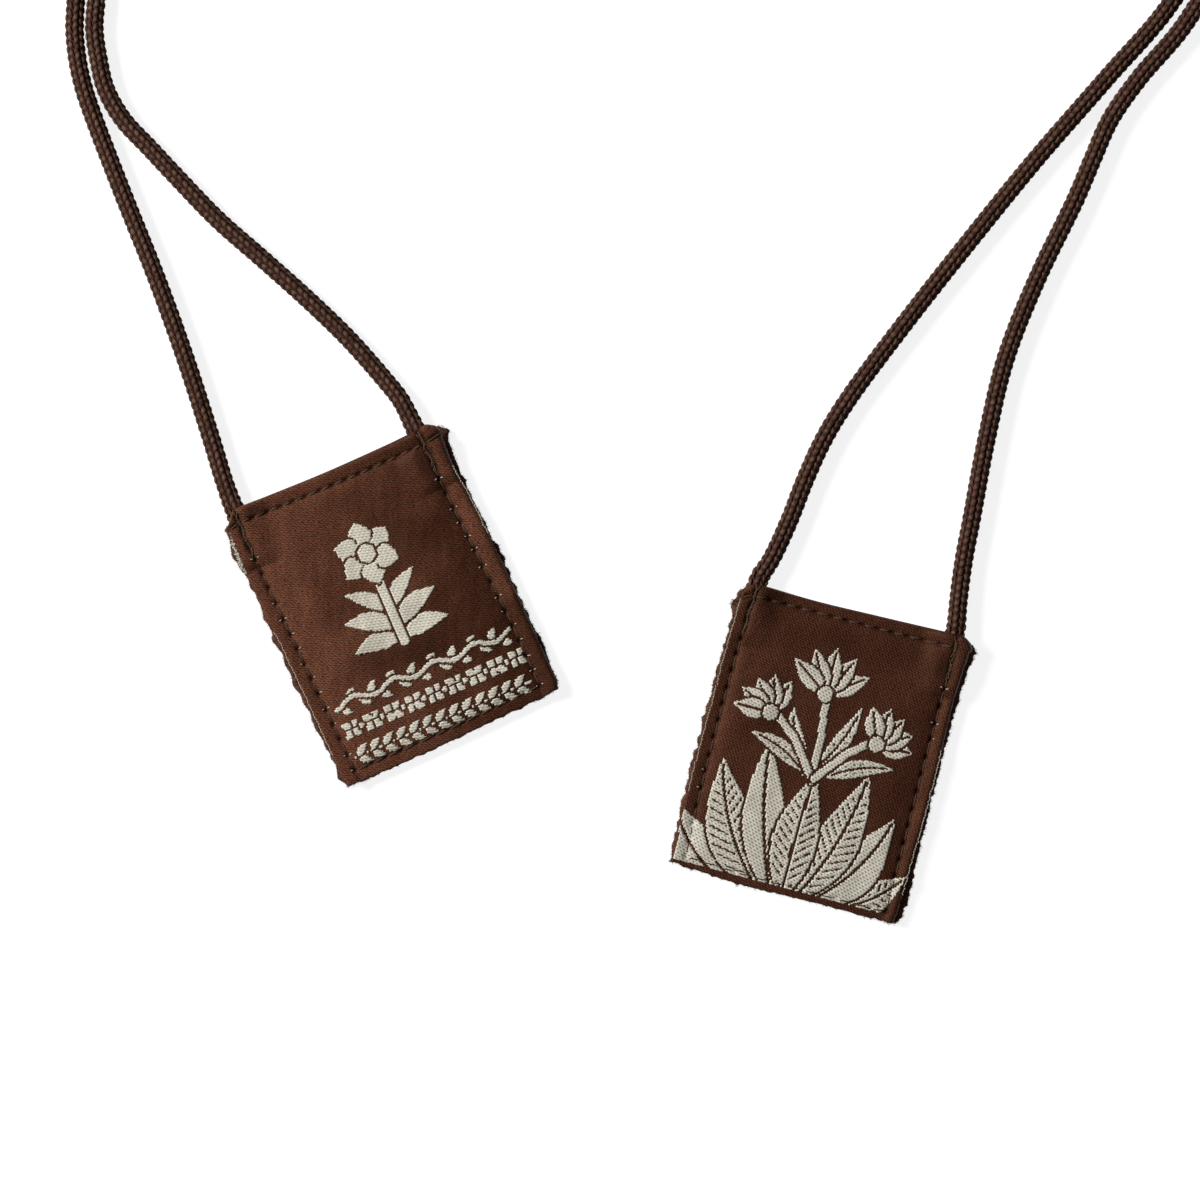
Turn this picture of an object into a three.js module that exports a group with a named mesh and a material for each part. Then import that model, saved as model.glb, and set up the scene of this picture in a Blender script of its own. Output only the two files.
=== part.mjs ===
// A brown scapular laid flat: two small cloth panels joined by two braided cords.
// Millimetres, +X to the right, +Y up the sheet, +Z up from the surface that it lies on.
// The origin is under the middle of the two panels' common box, cords left out.

import * as THREE from 'three';
import { mergeVertices } from 'three/addons/utils/BufferGeometryUtils.js';

// Driving dimensions

const CLOTH = 1.0;
const SEAM_GAP = 0.3;
const CORD_DIAMETER = 2.6;
const CORD_SIDES = 8;
const CORD_STEPS = 40;

// How far the cloth rises from a line of stitches, and how quickly.
const SEAM_REACH = 1.1;
const PILLOW = 0.5;
const BACK_CROWN = 0.3;
const END_FLARE = 0.3;

// The back cloth shows a little past the front along the bottom and ends just short of the top fold.
const BACK_PAST_BOTTOM = 0.2;
const BACK_SHORT_OF_TOP = 0.2;

// A cord's end is pressed flat between the front and the back, from its mouth at the top edge down.
const TUCK_SIDES = 12;
const TUCK_SPREAD = 3.4;
const TUCK_FADE = 2.5;
const TUCK_SECTIONS = [
  { along: 0, width: 3.0, height: 1.6 },
  { along: 0.2, width: 3.3, height: 1.4 },
  { along: 0.5, width: 3.4, height: 1.1 },
  { along: 0.8, width: 3.2, height: 0.9 },
  { along: 1, width: 2.6, height: 0.7 },
];

// Across a panel 0 is the left edge, 1 the left seam, 2 the right seam and 3 the right edge.
// Down a panel 0 is the top edge, 1 the top seam, 2 the bottom seam and 3 the bottom edge.
const ACROSS = [0, 0.5, 1, 1.034, 1.07, 1.12, 1.26, 1.42, 1.58, 1.74, 1.88, 1.93, 1.966, 2, 2.5, 3];
const DOWN = [0, 0.5, 1, 1.03, 1.07, 1.12, 1.18, 1.27, 1.38, 1.5, 1.62, 1.74, 1.84, 1.92, 1.97, 2, 2.5, 3];

// Each panel's own x runs to its right and its own y to its top, from its middle.
// sides: where its edges and side seams run, by the place down the panel, and how far the back
// shows past the front. ends: the same for its top and bottom, by the place across it.
const LEFT_PANEL = {
  name: 'left',
  middle: { x: -29.9, y: 10.4 },
  turn: 23.5,
  flare: { left: 0.35, right: 0.8 },
  sides: [
    { down: 0, edgeLeft: -17.4, seamLeft: -16.2, seamRight: 12.9, edgeRight: 15.7, pastLeft: 0.1, pastRight: 0.3 },
    { down: 1, edgeLeft: -18.2, seamLeft: -16.3, seamRight: 13.0, edgeRight: 16.0, pastLeft: 0.5, pastRight: 0.8 },
    { down: 1.12, edgeLeft: -18.3, seamLeft: -16.3, seamRight: 13.1, edgeRight: 15.8, pastLeft: 0.6, pastRight: 0.9 },
    { down: 1.25, edgeLeft: -18.3, seamLeft: -16.2, seamRight: 13.3, edgeRight: 16.2, pastLeft: 0.3, pastRight: 0.6 },
    { down: 1.5, edgeLeft: -17.9, seamLeft: -15.9, seamRight: 13.9, edgeRight: 16.7, pastLeft: 0.5, pastRight: 0.3 },
    { down: 1.75, edgeLeft: -17.6, seamLeft: -15.6, seamRight: 14.4, edgeRight: 16.9, pastLeft: 0.5, pastRight: 0.2 },
    { down: 2, edgeLeft: -17.4, seamLeft: -15.3, seamRight: 14.5, edgeRight: 17.1, pastLeft: 0.4, pastRight: 0.2 },
    { down: 3, edgeLeft: -17.1, seamLeft: -15.2, seamRight: 14.5, edgeRight: 16.8, pastLeft: 0.2, pastRight: 0.1 },
  ],
  ends: [
    { across: 0, top: 21.0, seamTop: 19.9, seamBottom: -20.0, bottom: -21.8 },
    { across: 1, top: 22.1, seamTop: 19.9, seamBottom: -20.1, bottom: -22.0 },
    { across: 1.5, top: 21.8, seamTop: 19.6, seamBottom: -20.0, bottom: -21.8 },
    { across: 2, top: 22.0, seamTop: 19.7, seamBottom: -19.5, bottom: -21.3 },
    { across: 2.5, top: 22.3, seamTop: 19.9, seamBottom: -19.4, bottom: -21.1 },
    { across: 3, top: 21.6, seamTop: 19.9, seamBottom: -19.3, bottom: -21.0 },
  ],
  creases: [
    { fromX: -12, fromY: 16, toX: -9, toY: -4, height: 0.3, reach: 4 },
    { fromX: 3, fromY: -3, toX: 11, toY: -9, height: 0.25, reach: 3.5 },
    { fromX: -2, fromY: 14, toX: 10, toY: 5, height: -0.2, reach: 4 },
  ],
  tucks: [
    { name: 'outer_end_left', mouth: { x: -16.2, y: 22.2 }, end: { x: -16.3, y: 15.2 } },
    { name: 'inner_end_left', mouth: { x: 12.8, y: 22.1 }, end: { x: 13.0, y: 15.2 } },
  ],
};

const RIGHT_PANEL = {
  name: 'right',
  middle: { x: 32.1, y: -11.8 },
  turn: -14.8,
  flare: { left: 0.35, right: 0.8 },
  sides: [
    { down: 0, edgeLeft: -16.4, seamLeft: -15.0, seamRight: 15.1, edgeRight: 17.4, pastLeft: 0.1, pastRight: 0.4 },
    { down: 1, edgeLeft: -17.0, seamLeft: -15.1, seamRight: 15.2, edgeRight: 17.5, pastLeft: 0.5, pastRight: 1.0 },
    { down: 1.12, edgeLeft: -17.1, seamLeft: -15.3, seamRight: 15.3, edgeRight: 17.2, pastLeft: 0.4, pastRight: 0.7 },
    { down: 1.5, edgeLeft: -17.2, seamLeft: -15.5, seamRight: 15.3, edgeRight: 17.4, pastLeft: 0.4, pastRight: 0.4 },
    { down: 1.75, edgeLeft: -17.2, seamLeft: -15.4, seamRight: 15.4, edgeRight: 17.3, pastLeft: 0.4, pastRight: 0.6 },
    { down: 2, edgeLeft: -17.1, seamLeft: -15.1, seamRight: 15.4, edgeRight: 17.1, pastLeft: 0.2, pastRight: 0.9 },
    { down: 3, edgeLeft: -17.0, seamLeft: -15.0, seamRight: 15.4, edgeRight: 16.9, pastLeft: 0.1, pastRight: 0.3 },
  ],
  ends: [
    { across: 0, top: 21.2, seamTop: 20.0, seamBottom: -19.3, bottom: -20.7 },
    { across: 1, top: 21.9, seamTop: 20.1, seamBottom: -19.4, bottom: -20.9 },
    { across: 1.3, top: 21.7, seamTop: 20.1, seamBottom: -19.8, bottom: -21.4 },
    { across: 1.6, top: 21.9, seamTop: 20.1, seamBottom: -19.8, bottom: -21.2 },
    { across: 2, top: 22.2, seamTop: 20.2, seamBottom: -19.8, bottom: -21.2 },
    { across: 2.5, top: 22.1, seamTop: 20.1, seamBottom: -19.8, bottom: -21.2 },
    { across: 3, top: 21.4, seamTop: 20.1, seamBottom: -19.7, bottom: -21.0 },
  ],
  creases: [
    { fromX: -11, fromY: 16, toX: -12, toY: 0, height: 0.3, reach: 3.5 },
    { fromX: 6, fromY: 5, toX: 12, toY: 10, height: 0.25, reach: 3.5 },
    { fromX: 2, fromY: 15, toX: 12, toY: 15, height: -0.2, reach: 3 },
  ],
  tucks: [
    { name: 'inner_end_right', mouth: { x: -15.1, y: 22.1 }, end: { x: -15.3, y: 15.2 } },
    { name: 'outer_end_right', mouth: { x: 14.7, y: 22.4 }, end: { x: 15.2, y: 15.2 } },
  ],
};

// The cords' routes, each from its mouth on the left panel to its mouth on the right one:
// x, y and the height of the cord's middle. Both lie on the surface from end to end.
const OUTER_ROUTE = [
  [-53.9, 24.9, 1.9], [-55.2, 28.5, 1.5], [-57.0, 34.4, 1.35], [-60.8, 46.2, 1.35], [-65.0, 57.9, 1.35],
  [-69.7, 69.7, 1.35], [-72.0, 75.6, 1.35], [-74.2, 81.4, 1.35], [-75.7, 85.8, 1.35], [-76.7, 90.3, 1.35],
  [-77.1, 94.7, 1.35], [-76.9, 99.1, 1.35], [-76.5, 109.4, 1.35], [-66.3, 137.3, 1.35], [-45.7, 158.6, 1.35],
  [-23.1, 168.6, 1.35], [24.0, 171.1, 1.35], [62.4, 170.1, 1.35], [83.9, 158.7, 1.35], [96.0, 137.6, 1.35],
  [95.6, 114.7, 1.35], [86.3, 96.1, 1.35], [79.0, 87.3, 1.35], [74.9, 81.4, 1.35], [72.3, 75.6, 1.35],
  [69.8, 69.7, 1.35], [64.1, 57.9, 1.35], [59.5, 46.2, 1.35], [56.7, 34.4, 1.35], [54.5, 22.6, 1.35],
  [53.4, 16.8, 1.35], [52.6, 10.9, 1.5], [52.2, 6.8, 1.9],
];
const INNER_ROUTE = [
  [-27.3, 36.4, 1.9], [-29.3, 40.3, 1.5], [-31.6, 43.2, 1.35], [-36.8, 49.1, 1.35], [-42.9, 55.0, 1.35],
  [-49.5, 60.9, 1.35], [-56.1, 66.7, 1.35], [-61.8, 72.6, 1.35], [-66.1, 77.2, 1.35], [-70.0, 81.4, 1.35],
  [-72.5, 85.8, 1.35], [-73.6, 90.3, 1.35], [-74.2, 94.7, 1.35], [-73.9, 99.1, 1.35], [-73.2, 109.0, 1.35],
  [-63.5, 135.5, 1.35], [-43.9, 155.8, 1.35], [-22.3, 165.4, 1.35], [24.0, 167.8, 1.35], [61.7, 166.9, 1.35],
  [81.6, 156.3, 1.35], [92.8, 136.8, 1.35], [92.5, 115.6, 1.35], [84.2, 99.1, 1.35], [74.2, 87.3, 1.35],
  [64.0, 75.6, 1.35], [54.4, 63.8, 1.35], [45.1, 52.0, 1.35], [36.4, 40.3, 1.35], [32.8, 34.4, 1.35],
  [30.1, 28.5, 1.35], [27.8, 22.6, 1.35], [25.1, 16.8, 1.5], [23.4, 14.2, 1.9],
];

// Finishes

const woven = { color: 0x4f2d20, roughness: 0.6, metalness: 0 };
const felted = { color: 0x3d231a, roughness: 0.95, metalness: 0 };
const braided = { color: 0x38231a, roughness: 0.8, metalness: 0 };

// A row of a table at any value of its first column, read between the two rows around it.
function readTable(rows, key, value) {
  const after = rows.find((row) => row[key] >= value) ?? rows.at(-1);
  const before = rows.findLast((row) => row[key] <= value) ?? rows[0];
  const span = after[key] - before[key];
  const share = span > 0 ? (value - before[key]) / span : 0;
  const names = Object.keys(after);
  return Object.fromEntries(names.map((name) => [name, THREE.MathUtils.lerp(before[name], after[name], share)]));
}

// The value at a place from 0 to 3, where the whole numbers have the four values given.
function between(stops, place) {
  const first = Math.min(Math.floor(place), stops.length - 2);
  return THREE.MathUtils.lerp(stops[first], stops[first + 1], place - first);
}

// A point of the front's outline grid, in the panel's own millimetres.
function frontPoint(panel, across, down) {
  const side = readTable(panel.sides, 'down', down);
  const end = readTable(panel.ends, 'across', across);
  const x = between([side.edgeLeft, side.seamLeft, side.seamRight, side.edgeRight], across);
  const y = between([end.top, end.seamTop, end.seamBottom, end.bottom], down);
  return new THREE.Vector2(x, y);
}

// The back follows the front, and shows past it on the sides and the bottom.
function backPoint(panel, across, down) {
  const side = readTable(panel.sides, 'down', down);
  const point = frontPoint(panel, across, down);
  point.x -= side.pastLeft * Math.max(0, 1 - across);
  point.x += side.pastRight * Math.max(0, across - 2);
  point.y -= BACK_SHORT_OF_TOP * Math.max(0, 1 - down);
  point.y -= BACK_PAST_BOTTOM * Math.max(0, down - 2);
  return point;
}

// From 0 at a line of stitches to nearly 1 a few millimetres away.
function riseFromSeam(distance) {
  return 1 - Math.exp(-Math.abs(distance) / SEAM_REACH);
}

// How far a soft crease lifts or lowers a point, fading away on both sides and at its ends.
function creaseAt(crease, point) {
  const from = new THREE.Vector2(crease.fromX, crease.fromY);
  const run = new THREE.Vector2(crease.toX, crease.toY).sub(from);
  const share = THREE.MathUtils.clamp(point.clone().sub(from).dot(run) / run.lengthSq(), 0, 1);
  const away = point.distanceTo(from.addScaledVector(run, share));
  return crease.height * Math.exp(-((away / crease.reach) ** 2));
}

// The cloth's height over a panel without the cords' ends: pressed down at the stitches, puffed between.
function drapeAt(panel, across, down, point) {
  const side = readTable(panel.sides, 'down', down);
  const end = readTable(panel.ends, 'across', across);
  const riseLeft = riseFromSeam(point.x - side.seamLeft);
  const riseRight = riseFromSeam(point.x - side.seamRight);
  if (across <= 1) return panel.flare.left * riseLeft;
  if (across >= 2) return panel.flare.right * riseRight;
  const riseTop = riseFromSeam(point.y - end.seamTop);
  const riseBottom = riseFromSeam(point.y - end.seamBottom);
  const sideways = riseLeft * riseRight;
  if (down <= 1) return END_FLARE * sideways * riseTop;
  if (down >= 2) return END_FLARE * sideways * riseBottom;
  const creased = panel.creases.reduce((sum, crease) => sum + creaseAt(crease, point), PILLOW);
  return Math.max(0, creased) * sideways * riseTop * riseBottom;
}

// How far the cords' ends lift the front.
function tuckLift(panel, point) {
  return Math.max(...panel.tucks.map((tuck) => {
    const run = new THREE.Vector2(tuck.end.x - tuck.mouth.x, tuck.end.y - tuck.mouth.y);
    const reach = point.clone().sub(tuck.mouth);
    const along = reach.dot(run) / run.length();
    const away = Math.abs(reach.cross(run)) / run.length();
    const section = readTable(TUCK_SECTIONS, 'along', THREE.MathUtils.clamp(along / run.length(), 0, 1));
    const past = THREE.MathUtils.clamp((along - run.length()) / TUCK_FADE, 0, 1);
    const spread = Math.cos((Math.PI / 2) * Math.min(1, away / TUCK_SPREAD)) ** 2;
    return (section.height + SEAM_GAP) * spread * (1 - past * past);
  }));
}

// A closed wall of cloth: a box cut into the panel's grid, whose points are moved into place.
// place gives the plan of a point, and heights the bottom and the top of the cloth there.
function makeWall(name, look, panel, place, heights) {
  const columns = ACROSS.length - 1;
  const rows = DOWN.length - 1;
  const box = new THREE.BoxGeometry(1, 1, 1, columns, rows, 1);
  const position = box.getAttribute('position');
  for (let i = 0; i < position.count; i++) {
    const across = ACROSS[Math.round((position.getX(i) + 0.5) * columns)];
    const down = DOWN[Math.round((0.5 - position.getY(i)) * rows)];
    const point = place(panel, across, down);
    const { bottom, top } = heights(panel, across, down, point);
    position.setXYZ(i, point.x, point.y, position.getZ(i) > 0 ? top : bottom);
  }
  return makeMesh(name, box, look);
}

function makeMesh(name, geometry, look) {
  geometry.deleteAttribute('uv');
  geometry.deleteAttribute('normal');
  const closed = mergeVertices(geometry);
  closed.computeVertexNormals();
  const mesh = new THREE.Mesh(closed, new THREE.MeshStandardMaterial(look));
  mesh.name = name;
  return mesh;
}

// The back lies flat on the surface and is a little thicker in its middle.
function backHeights(panel, across, down, point) {
  const crown = BACK_CROWN * drapeAt(panel, across, down, point) * (across > 1 && across < 2 ? 1 : 0);
  return { bottom: 0, top: CLOTH + crown };
}

function frontHeights(panel, across, down, point) {
  const lift = drapeAt(panel, across, down, point) + tuckLift(panel, point);
  const bottom = CLOTH + SEAM_GAP + lift;
  return { bottom, top: bottom + CLOTH };
}

// A cord's flattened end: a capped cylinder whose rings take the sections of the table.
function makeTuck(tuck) {
  const rings = TUCK_SECTIONS.length - 1;
  const cylinder = new THREE.CylinderGeometry(1, 1, 1, TUCK_SIDES, rings);
  const position = cylinder.getAttribute('position');
  const mouth = new THREE.Vector2(tuck.mouth.x, tuck.mouth.y);
  const end = new THREE.Vector2(tuck.end.x, tuck.end.y);
  const outward = mouth.clone().sub(end).normalize();
  const sideways = new THREE.Vector2(outward.y, -outward.x);
  for (let i = 0; i < position.count; i++) {
    const section = TUCK_SECTIONS[Math.round((0.5 - position.getY(i)) * rings)];
    const point = mouth.clone().lerp(end, section.along);
    point.addScaledVector(sideways, (position.getX(i) * section.width) / 2);
    const middle = CLOTH + SEAM_GAP + section.height / 2;
    position.setXYZ(i, point.x, point.y, middle + (position.getZ(i) * section.height) / 2);
  }
  return makeMesh(tuck.name, cylinder, braided);
}

// A panel: its back, its front, and the two cord ends that are caught between them.
function makePanel(panel) {
  const group = new THREE.Group();
  group.add(makeWall(panel.name + '_back', felted, panel, backPoint, backHeights));
  group.add(makeWall(panel.name + '_front', woven, panel, frontPoint, frontHeights));
  panel.tucks.forEach((tuck) => group.add(makeTuck(tuck)));
  group.position.set(panel.middle.x, panel.middle.y, 0);
  group.rotation.z = THREE.MathUtils.degToRad(panel.turn);
  return group;
}

// A cord: a many-sided section drawn along its route.
function makeCord(name, route) {
  const section = new THREE.Shape();
  for (let i = 0; i < CORD_SIDES; i++) {
    const angle = ((i + 0.5) / CORD_SIDES) * 2 * Math.PI;
    const x = (CORD_DIAMETER / 2) * Math.cos(angle);
    const y = (CORD_DIAMETER / 2) * Math.sin(angle);
    if (i === 0) section.moveTo(x, y);
    else section.lineTo(x, y);
  }
  section.closePath();
  const path = new THREE.CatmullRomCurve3(route.map((point) => new THREE.Vector3(...point)));
  return makeMesh(name, new THREE.ExtrudeGeometry(section, { steps: CORD_STEPS, extrudePath: path }), braided);
}

const scapular = new THREE.Group();
scapular.add(makePanel(LEFT_PANEL));
scapular.add(makePanel(RIGHT_PANEL));
scapular.add(makeCord('cord_outer', OUTER_ROUTE));
scapular.add(makeCord('cord_inner', INNER_ROUTE));

export default scapular;
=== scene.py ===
import math

import bmesh
import bpy
import numpy as np
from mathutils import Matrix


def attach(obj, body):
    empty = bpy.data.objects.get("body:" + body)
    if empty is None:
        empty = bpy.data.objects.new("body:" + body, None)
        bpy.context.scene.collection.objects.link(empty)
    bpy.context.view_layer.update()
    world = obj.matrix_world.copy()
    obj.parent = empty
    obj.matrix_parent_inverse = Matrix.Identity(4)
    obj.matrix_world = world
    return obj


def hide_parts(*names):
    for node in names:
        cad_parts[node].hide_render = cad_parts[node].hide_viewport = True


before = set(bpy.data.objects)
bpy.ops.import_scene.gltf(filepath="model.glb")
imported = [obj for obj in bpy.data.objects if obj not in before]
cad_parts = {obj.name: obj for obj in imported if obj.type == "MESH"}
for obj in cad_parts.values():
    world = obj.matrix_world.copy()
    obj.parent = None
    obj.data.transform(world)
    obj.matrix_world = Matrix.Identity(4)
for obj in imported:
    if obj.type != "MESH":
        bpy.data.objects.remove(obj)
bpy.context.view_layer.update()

# A brown scapular laid flat: two woven labels on felted backs, sewn round, joined by two braided cords.
# The tables and routes are the ones that the part's solids are made from, in millimetres.
# Each panel has its own x to its right and y to its top, from its middle.

MM = 0.001
BODY = "root"

# What the photograph shows: 176.4 mm of table across, seen from straight above.
PHOTO_WIDTH = 0.1764
PHOTO_MIDDLE_Y = 0.01088
CAMERA_HEIGHT = 0.75
# One soft box stands to the left, near enough that its light falls off across the object.
KEY_PLACE = (-0.81, 0.35, 0.65)
KEY_SIZE = 0.35
KEY_WATTS = 22.7
SKY_STRENGTH = 0.17
# The table's half width, and how far its top lies below the object.
TABLE_HALF_WIDTH = 6.0
TABLE_GAP = 0.1

# Each solid's thickness, the gap between two of them, and the real label cloth.
CLOTH = 1.0
SEAM_GAP = 0.3
LABEL_THICKNESS = 0.45
# The cloth rises away from the stitches: within what reach, and how far on label, felt, top and low strip.
SEAM_REACH = 1.1
PILLOW = 0.5
BACK_CROWN = 0.3
TOP_FLARE = 0.3
LOW_DROOP = -0.15
# A stitch pulls the label down by this much.
NEEDLE_PULL = 0.28
# How far to its sides and past its end a tucked cord lifts the label.
TUCK_SPREAD = 3.4
TUCK_FADE = 2.5
# The radius of each edge: the label's folded top, its puffed right side and its cut sides, and the felt.
TOP_ROLL = 0.8
RIGHT_ROLL = 0.85
CUT_ROLL = 0.25
FELT_ROLL = 0.5
# The strips outside the seams, and the roll at their sides, as the rows of points are spaced for them.
LEFT_STRIP = 2.0
RIGHT_STRIP = 2.4
TOP_STRIP = 2.1
SIDE_ROLL = 0.6
# How uneven the cloth is: a share of its puff, its fine puckers, and the felt's cut edge and face.
WOBBLE = 0.18
PUCKER = 0.025
EDGE_WAVE = 0.12
FELT_WAVE = 0.04
# How far the felt's underside is cut in.
UNDERCUT = 0.35
# The felt's loose hairs round each panel.
HAIRS = 4200
HAIR_LENGTH = 0.22
HAIR_RADIUS = 0.015

# along, width, height of a cord's end from its mouth down between the cloths
TUCK_SECTIONS = np.array([
    (0, 3.0, 1.6),
    (0.2, 3.3, 1.4),
    (0.5, 3.4, 1.1),
    (0.8, 3.2, 0.9),
    (1, 2.6, 0.7),
])

# sides: down, edge left, seam left, seam right, edge right, back past left, back past right
# ends: across, top, seam top, seam bottom, bottom
# creases: from x, from y, to x, to y, height, reach
# tucks: mouth x, mouth y, end x, end y
LEFT = {
    "middle": (-29.9, 10.4),
    "turn": 23.5,
    "low_rim": -0.1,
    "flare": (0.6, 0.75),
    "sides": np.array([
        (0, -17.4, -16.2, 12.9, 15.7, 0.1, 0.3),
        (1, -18.2, -16.3, 13.0, 16.0, 0.5, 0.7),
        (1.12, -18.3, -16.3, 13.1, 15.8, 0.6, 0.5),
        (1.25, -18.3, -16.2, 13.3, 16.2, 0.3, 0.25),
        (1.5, -17.9, -15.9, 13.9, 16.7, 0.5, 0.2),
        (1.75, -17.6, -15.6, 14.4, 16.9, 0.5, 0.2),
        (2, -17.4, -15.3, 14.5, 17.1, 0.4, 0.05),
        (3, -17.1, -15.2, 14.5, 16.8, 0.2, 0.05),
    ]),
    "ends": np.array([
        (0, 21.0, 19.9, -20.0, -21.8),
        (1, 22.1, 19.9, -20.1, -22.0),
        (1.5, 21.8, 19.6, -20.0, -21.8),
        (2, 22.0, 19.7, -19.5, -21.3),
        (2.5, 22.3, 19.9, -19.4, -21.1),
        (3, 21.6, 19.9, -19.3, -21.0),
    ]),
    "creases": [(-12, 16, -9, -4, 0.3, 4), (3, -3, 11, -9, 0.25, 3.5), (-2, 14, 10, 5, -0.2, 4)],
    "tucks": [(-16.2, 22.2, -16.3, 15.2), (12.8, 22.1, 13.0, 15.2)],
    # where the felt bulges past the label: side (-1 left, 1 right), y, how far, half its length
    "bulges": [
        (-1, 5.5, 0.45, 0.7), (-1, 2.0, 0.5, 1.0), (-1, -1.7, 0.3, 0.8), (-1, -4.9, 0.55, 0.9),
        (-1, -8.0, 0.3, 0.8), (-1, -12.0, 0.35, 0.8), (-1, -20.5, 0.5, 0.9), (-1, 15.8, 0.45, 1.6),
        (1, 20.3, 0.15, 1.2), (1, 1.0, 0.2, 1.4), (1, -13.5, 0.3, 1.5),
    ],
    "tufts": [(-17.9, 17.2, 0.3, 24), (16.4, 21.0, 0.3, 20)],
    # short extra stitches at the top corners: from x, from y, to x, to y
    "tacks": [
        (13.3, 19.7, 16.2, 20.3), (13.0, 21.7, 13.3, 19.2), (12.8, 19.4, 13.4, 17.0),
        (13.3, 17.4, 13.1, 15.0), (-16.5, 21.8, -16.1, 19.4), (-16.1, 19.8, -16.6, 17.2),
        (-16.5, 17.6, -16.2, 15.0), (-17.9, 19.5, -16.6, 19.9),
    ],
    # shallow hollows where the seam draws the cloth in, which the label also paints dark as shade: x, y, run
    # x, run y, long, wide, how much
    "hollows": [(11.9, 17.0, 0.0, 1.0, 2.6, 0.9, 0.5)],
    "top_pitch": 2.05,
    "side_pitch": 2.45,
    "seed": 11,
}
RIGHT = {
    "middle": (32.1, -11.8),
    "turn": -14.8,
    "low_rim": 0.05,
    "flare": (0.35, 0.75),
    "sides": np.array([
        (0, -16.4, -15.0, 15.1, 17.4, 0.1, 0.4),
        (1, -17.0, -15.1, 15.2, 17.5, 0.5, 0.7),
        (1.12, -17.1, -15.3, 15.3, 17.2, 0.4, 0.7),
        (1.5, -17.2, -15.5, 15.3, 17.4, 0.4, 0.4),
        (1.75, -17.2, -15.4, 15.4, 17.3, 0.4, 0.6),
        (2, -17.1, -15.1, 15.4, 17.1, 0.2, 0.9),
        (3, -17.0, -15.0, 15.4, 16.9, 0.1, 0.3),
    ]),
    "ends": np.array([
        (0, 21.2, 20.0, -19.3, -20.7),
        (1, 21.9, 20.1, -19.4, -20.9),
        (1.3, 21.7, 20.1, -19.8, -21.4),
        (1.6, 21.9, 20.1, -19.8, -21.2),
        (2, 22.2, 20.2, -19.8, -21.2),
        (2.5, 22.1, 20.1, -19.8, -21.2),
        (3, 21.4, 20.1, -19.7, -21.0),
    ]),
    "creases": [(-11, 16, -12, 0, 0.3, 3.5), (6, 5, 12, 10, 0.25, 3.5), (2, 15, 12, 15, -0.2, 3)],
    "tucks": [(-15.1, 22.1, -15.3, 15.2), (14.7, 22.4, 15.2, 15.2)],
    "bulges": [
        (-1, 18.2, 0.6, 0.8), (-1, 8.0, 0.15, 1.5), (-1, 1.0, 0.2, 1.6), (-1, -6.0, 0.25, 1.4),
        (-1, -12.0, 0.15, 1.2), (1, 19.5, 0.2, 2.0), (1, 13.0, 0.1, 1.5), (1, -16.0, 0.25, 2.5),
    ],
    "tufts": [(-17.6, 18.3, 0.35, 90), (-6.7, -21.4, 0.2, 40), (18.1, 19.8, 0.3, 30)],
    "tacks": [
        (15.2, 21.6, 15.5, 19.3), (15.5, 19.7, 15.1, 17.2), (15.2, 17.6, 15.5, 15.0),
        (-15.2, 21.8, -14.9, 19.6), (-14.9, 20.0, -15.4, 17.4), (-15.4, 17.8, -15.1, 15.2),
        (-16.8, 19.4, -15.3, 20.2),
    ],
    "hollows": [(14.2, 16.6, 0.0, 1.0, 2.6, 0.9, 0.5)],
    "top_pitch": 2.3,
    "side_pitch": 2.5,
    "seed": 23,
}

# Each cord's middle line from mouth to mouth, as x and y, and its height: at a mouth, next to it, elsewhere.
ROUTE_HEIGHTS = (1.9, 1.5, 1.35)
OUTER_ROUTE = [
    (-53.9, 24.9), (-55.2, 28.5), (-57.0, 34.4), (-60.8, 46.2), (-65.0, 57.9), (-69.7, 69.7),
    (-72.0, 75.6), (-74.2, 81.4), (-75.7, 85.8), (-76.7, 90.3), (-77.1, 94.7), (-76.9, 99.1),
    (-76.5, 109.4), (-66.3, 137.3), (-45.7, 158.6), (-23.1, 168.6), (24.0, 171.1), (62.4, 170.1),
    (83.9, 158.7), (96.0, 137.6), (95.6, 114.7), (86.3, 96.1), (79.0, 87.3), (74.9, 81.4), (72.3, 75.6),
    (69.8, 69.7), (64.1, 57.9), (59.5, 46.2), (56.7, 34.4), (54.5, 22.6), (53.4, 16.8), (52.6, 10.9),
    (52.2, 6.8),
]
INNER_ROUTE = [
    (-27.3, 36.4), (-29.3, 40.3), (-31.6, 43.2), (-36.8, 49.1), (-42.9, 55.0), (-49.5, 60.9),
    (-56.1, 66.7), (-61.8, 72.6), (-66.1, 77.2), (-70.0, 81.4), (-72.5, 85.8), (-73.6, 90.3),
    (-74.2, 94.7), (-73.9, 99.1), (-73.2, 109.0), (-63.5, 135.5), (-43.9, 155.8), (-22.3, 165.4),
    (24.0, 167.8), (61.7, 166.9), (81.6, 156.3), (92.8, 136.8), (92.5, 115.6), (84.2, 99.1), (74.2, 87.3),
    (64.0, 75.6), (54.4, 63.8), (45.1, 52.0), (36.4, 40.3), (32.8, 34.4), (30.1, 28.5), (27.8, 22.6),
    (25.1, 16.8), (23.4, 14.2),
]

# The cord is a round braid of sixteen yarns, eight each way, that pass over two and under two.
# A yarn is wider and thicker where it is on top, so both are given as under, on top.
CORD_DIAMETER = 2.6
YARNS_EACH_WAY = 8
BRAID_LEAD = 9.2
STEPS_A_LEAD = 22
YARN_RING = 0.98
YARN_WEAVE = 0.17
YARN_HALF_WIDTH = (0.29, 0.39)
YARN_HALF_THICKNESS = (0.12, 0.22)
FLOAT_STRAIGHTENING = 0.8
CORE_RADIUS = 1.02
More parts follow.
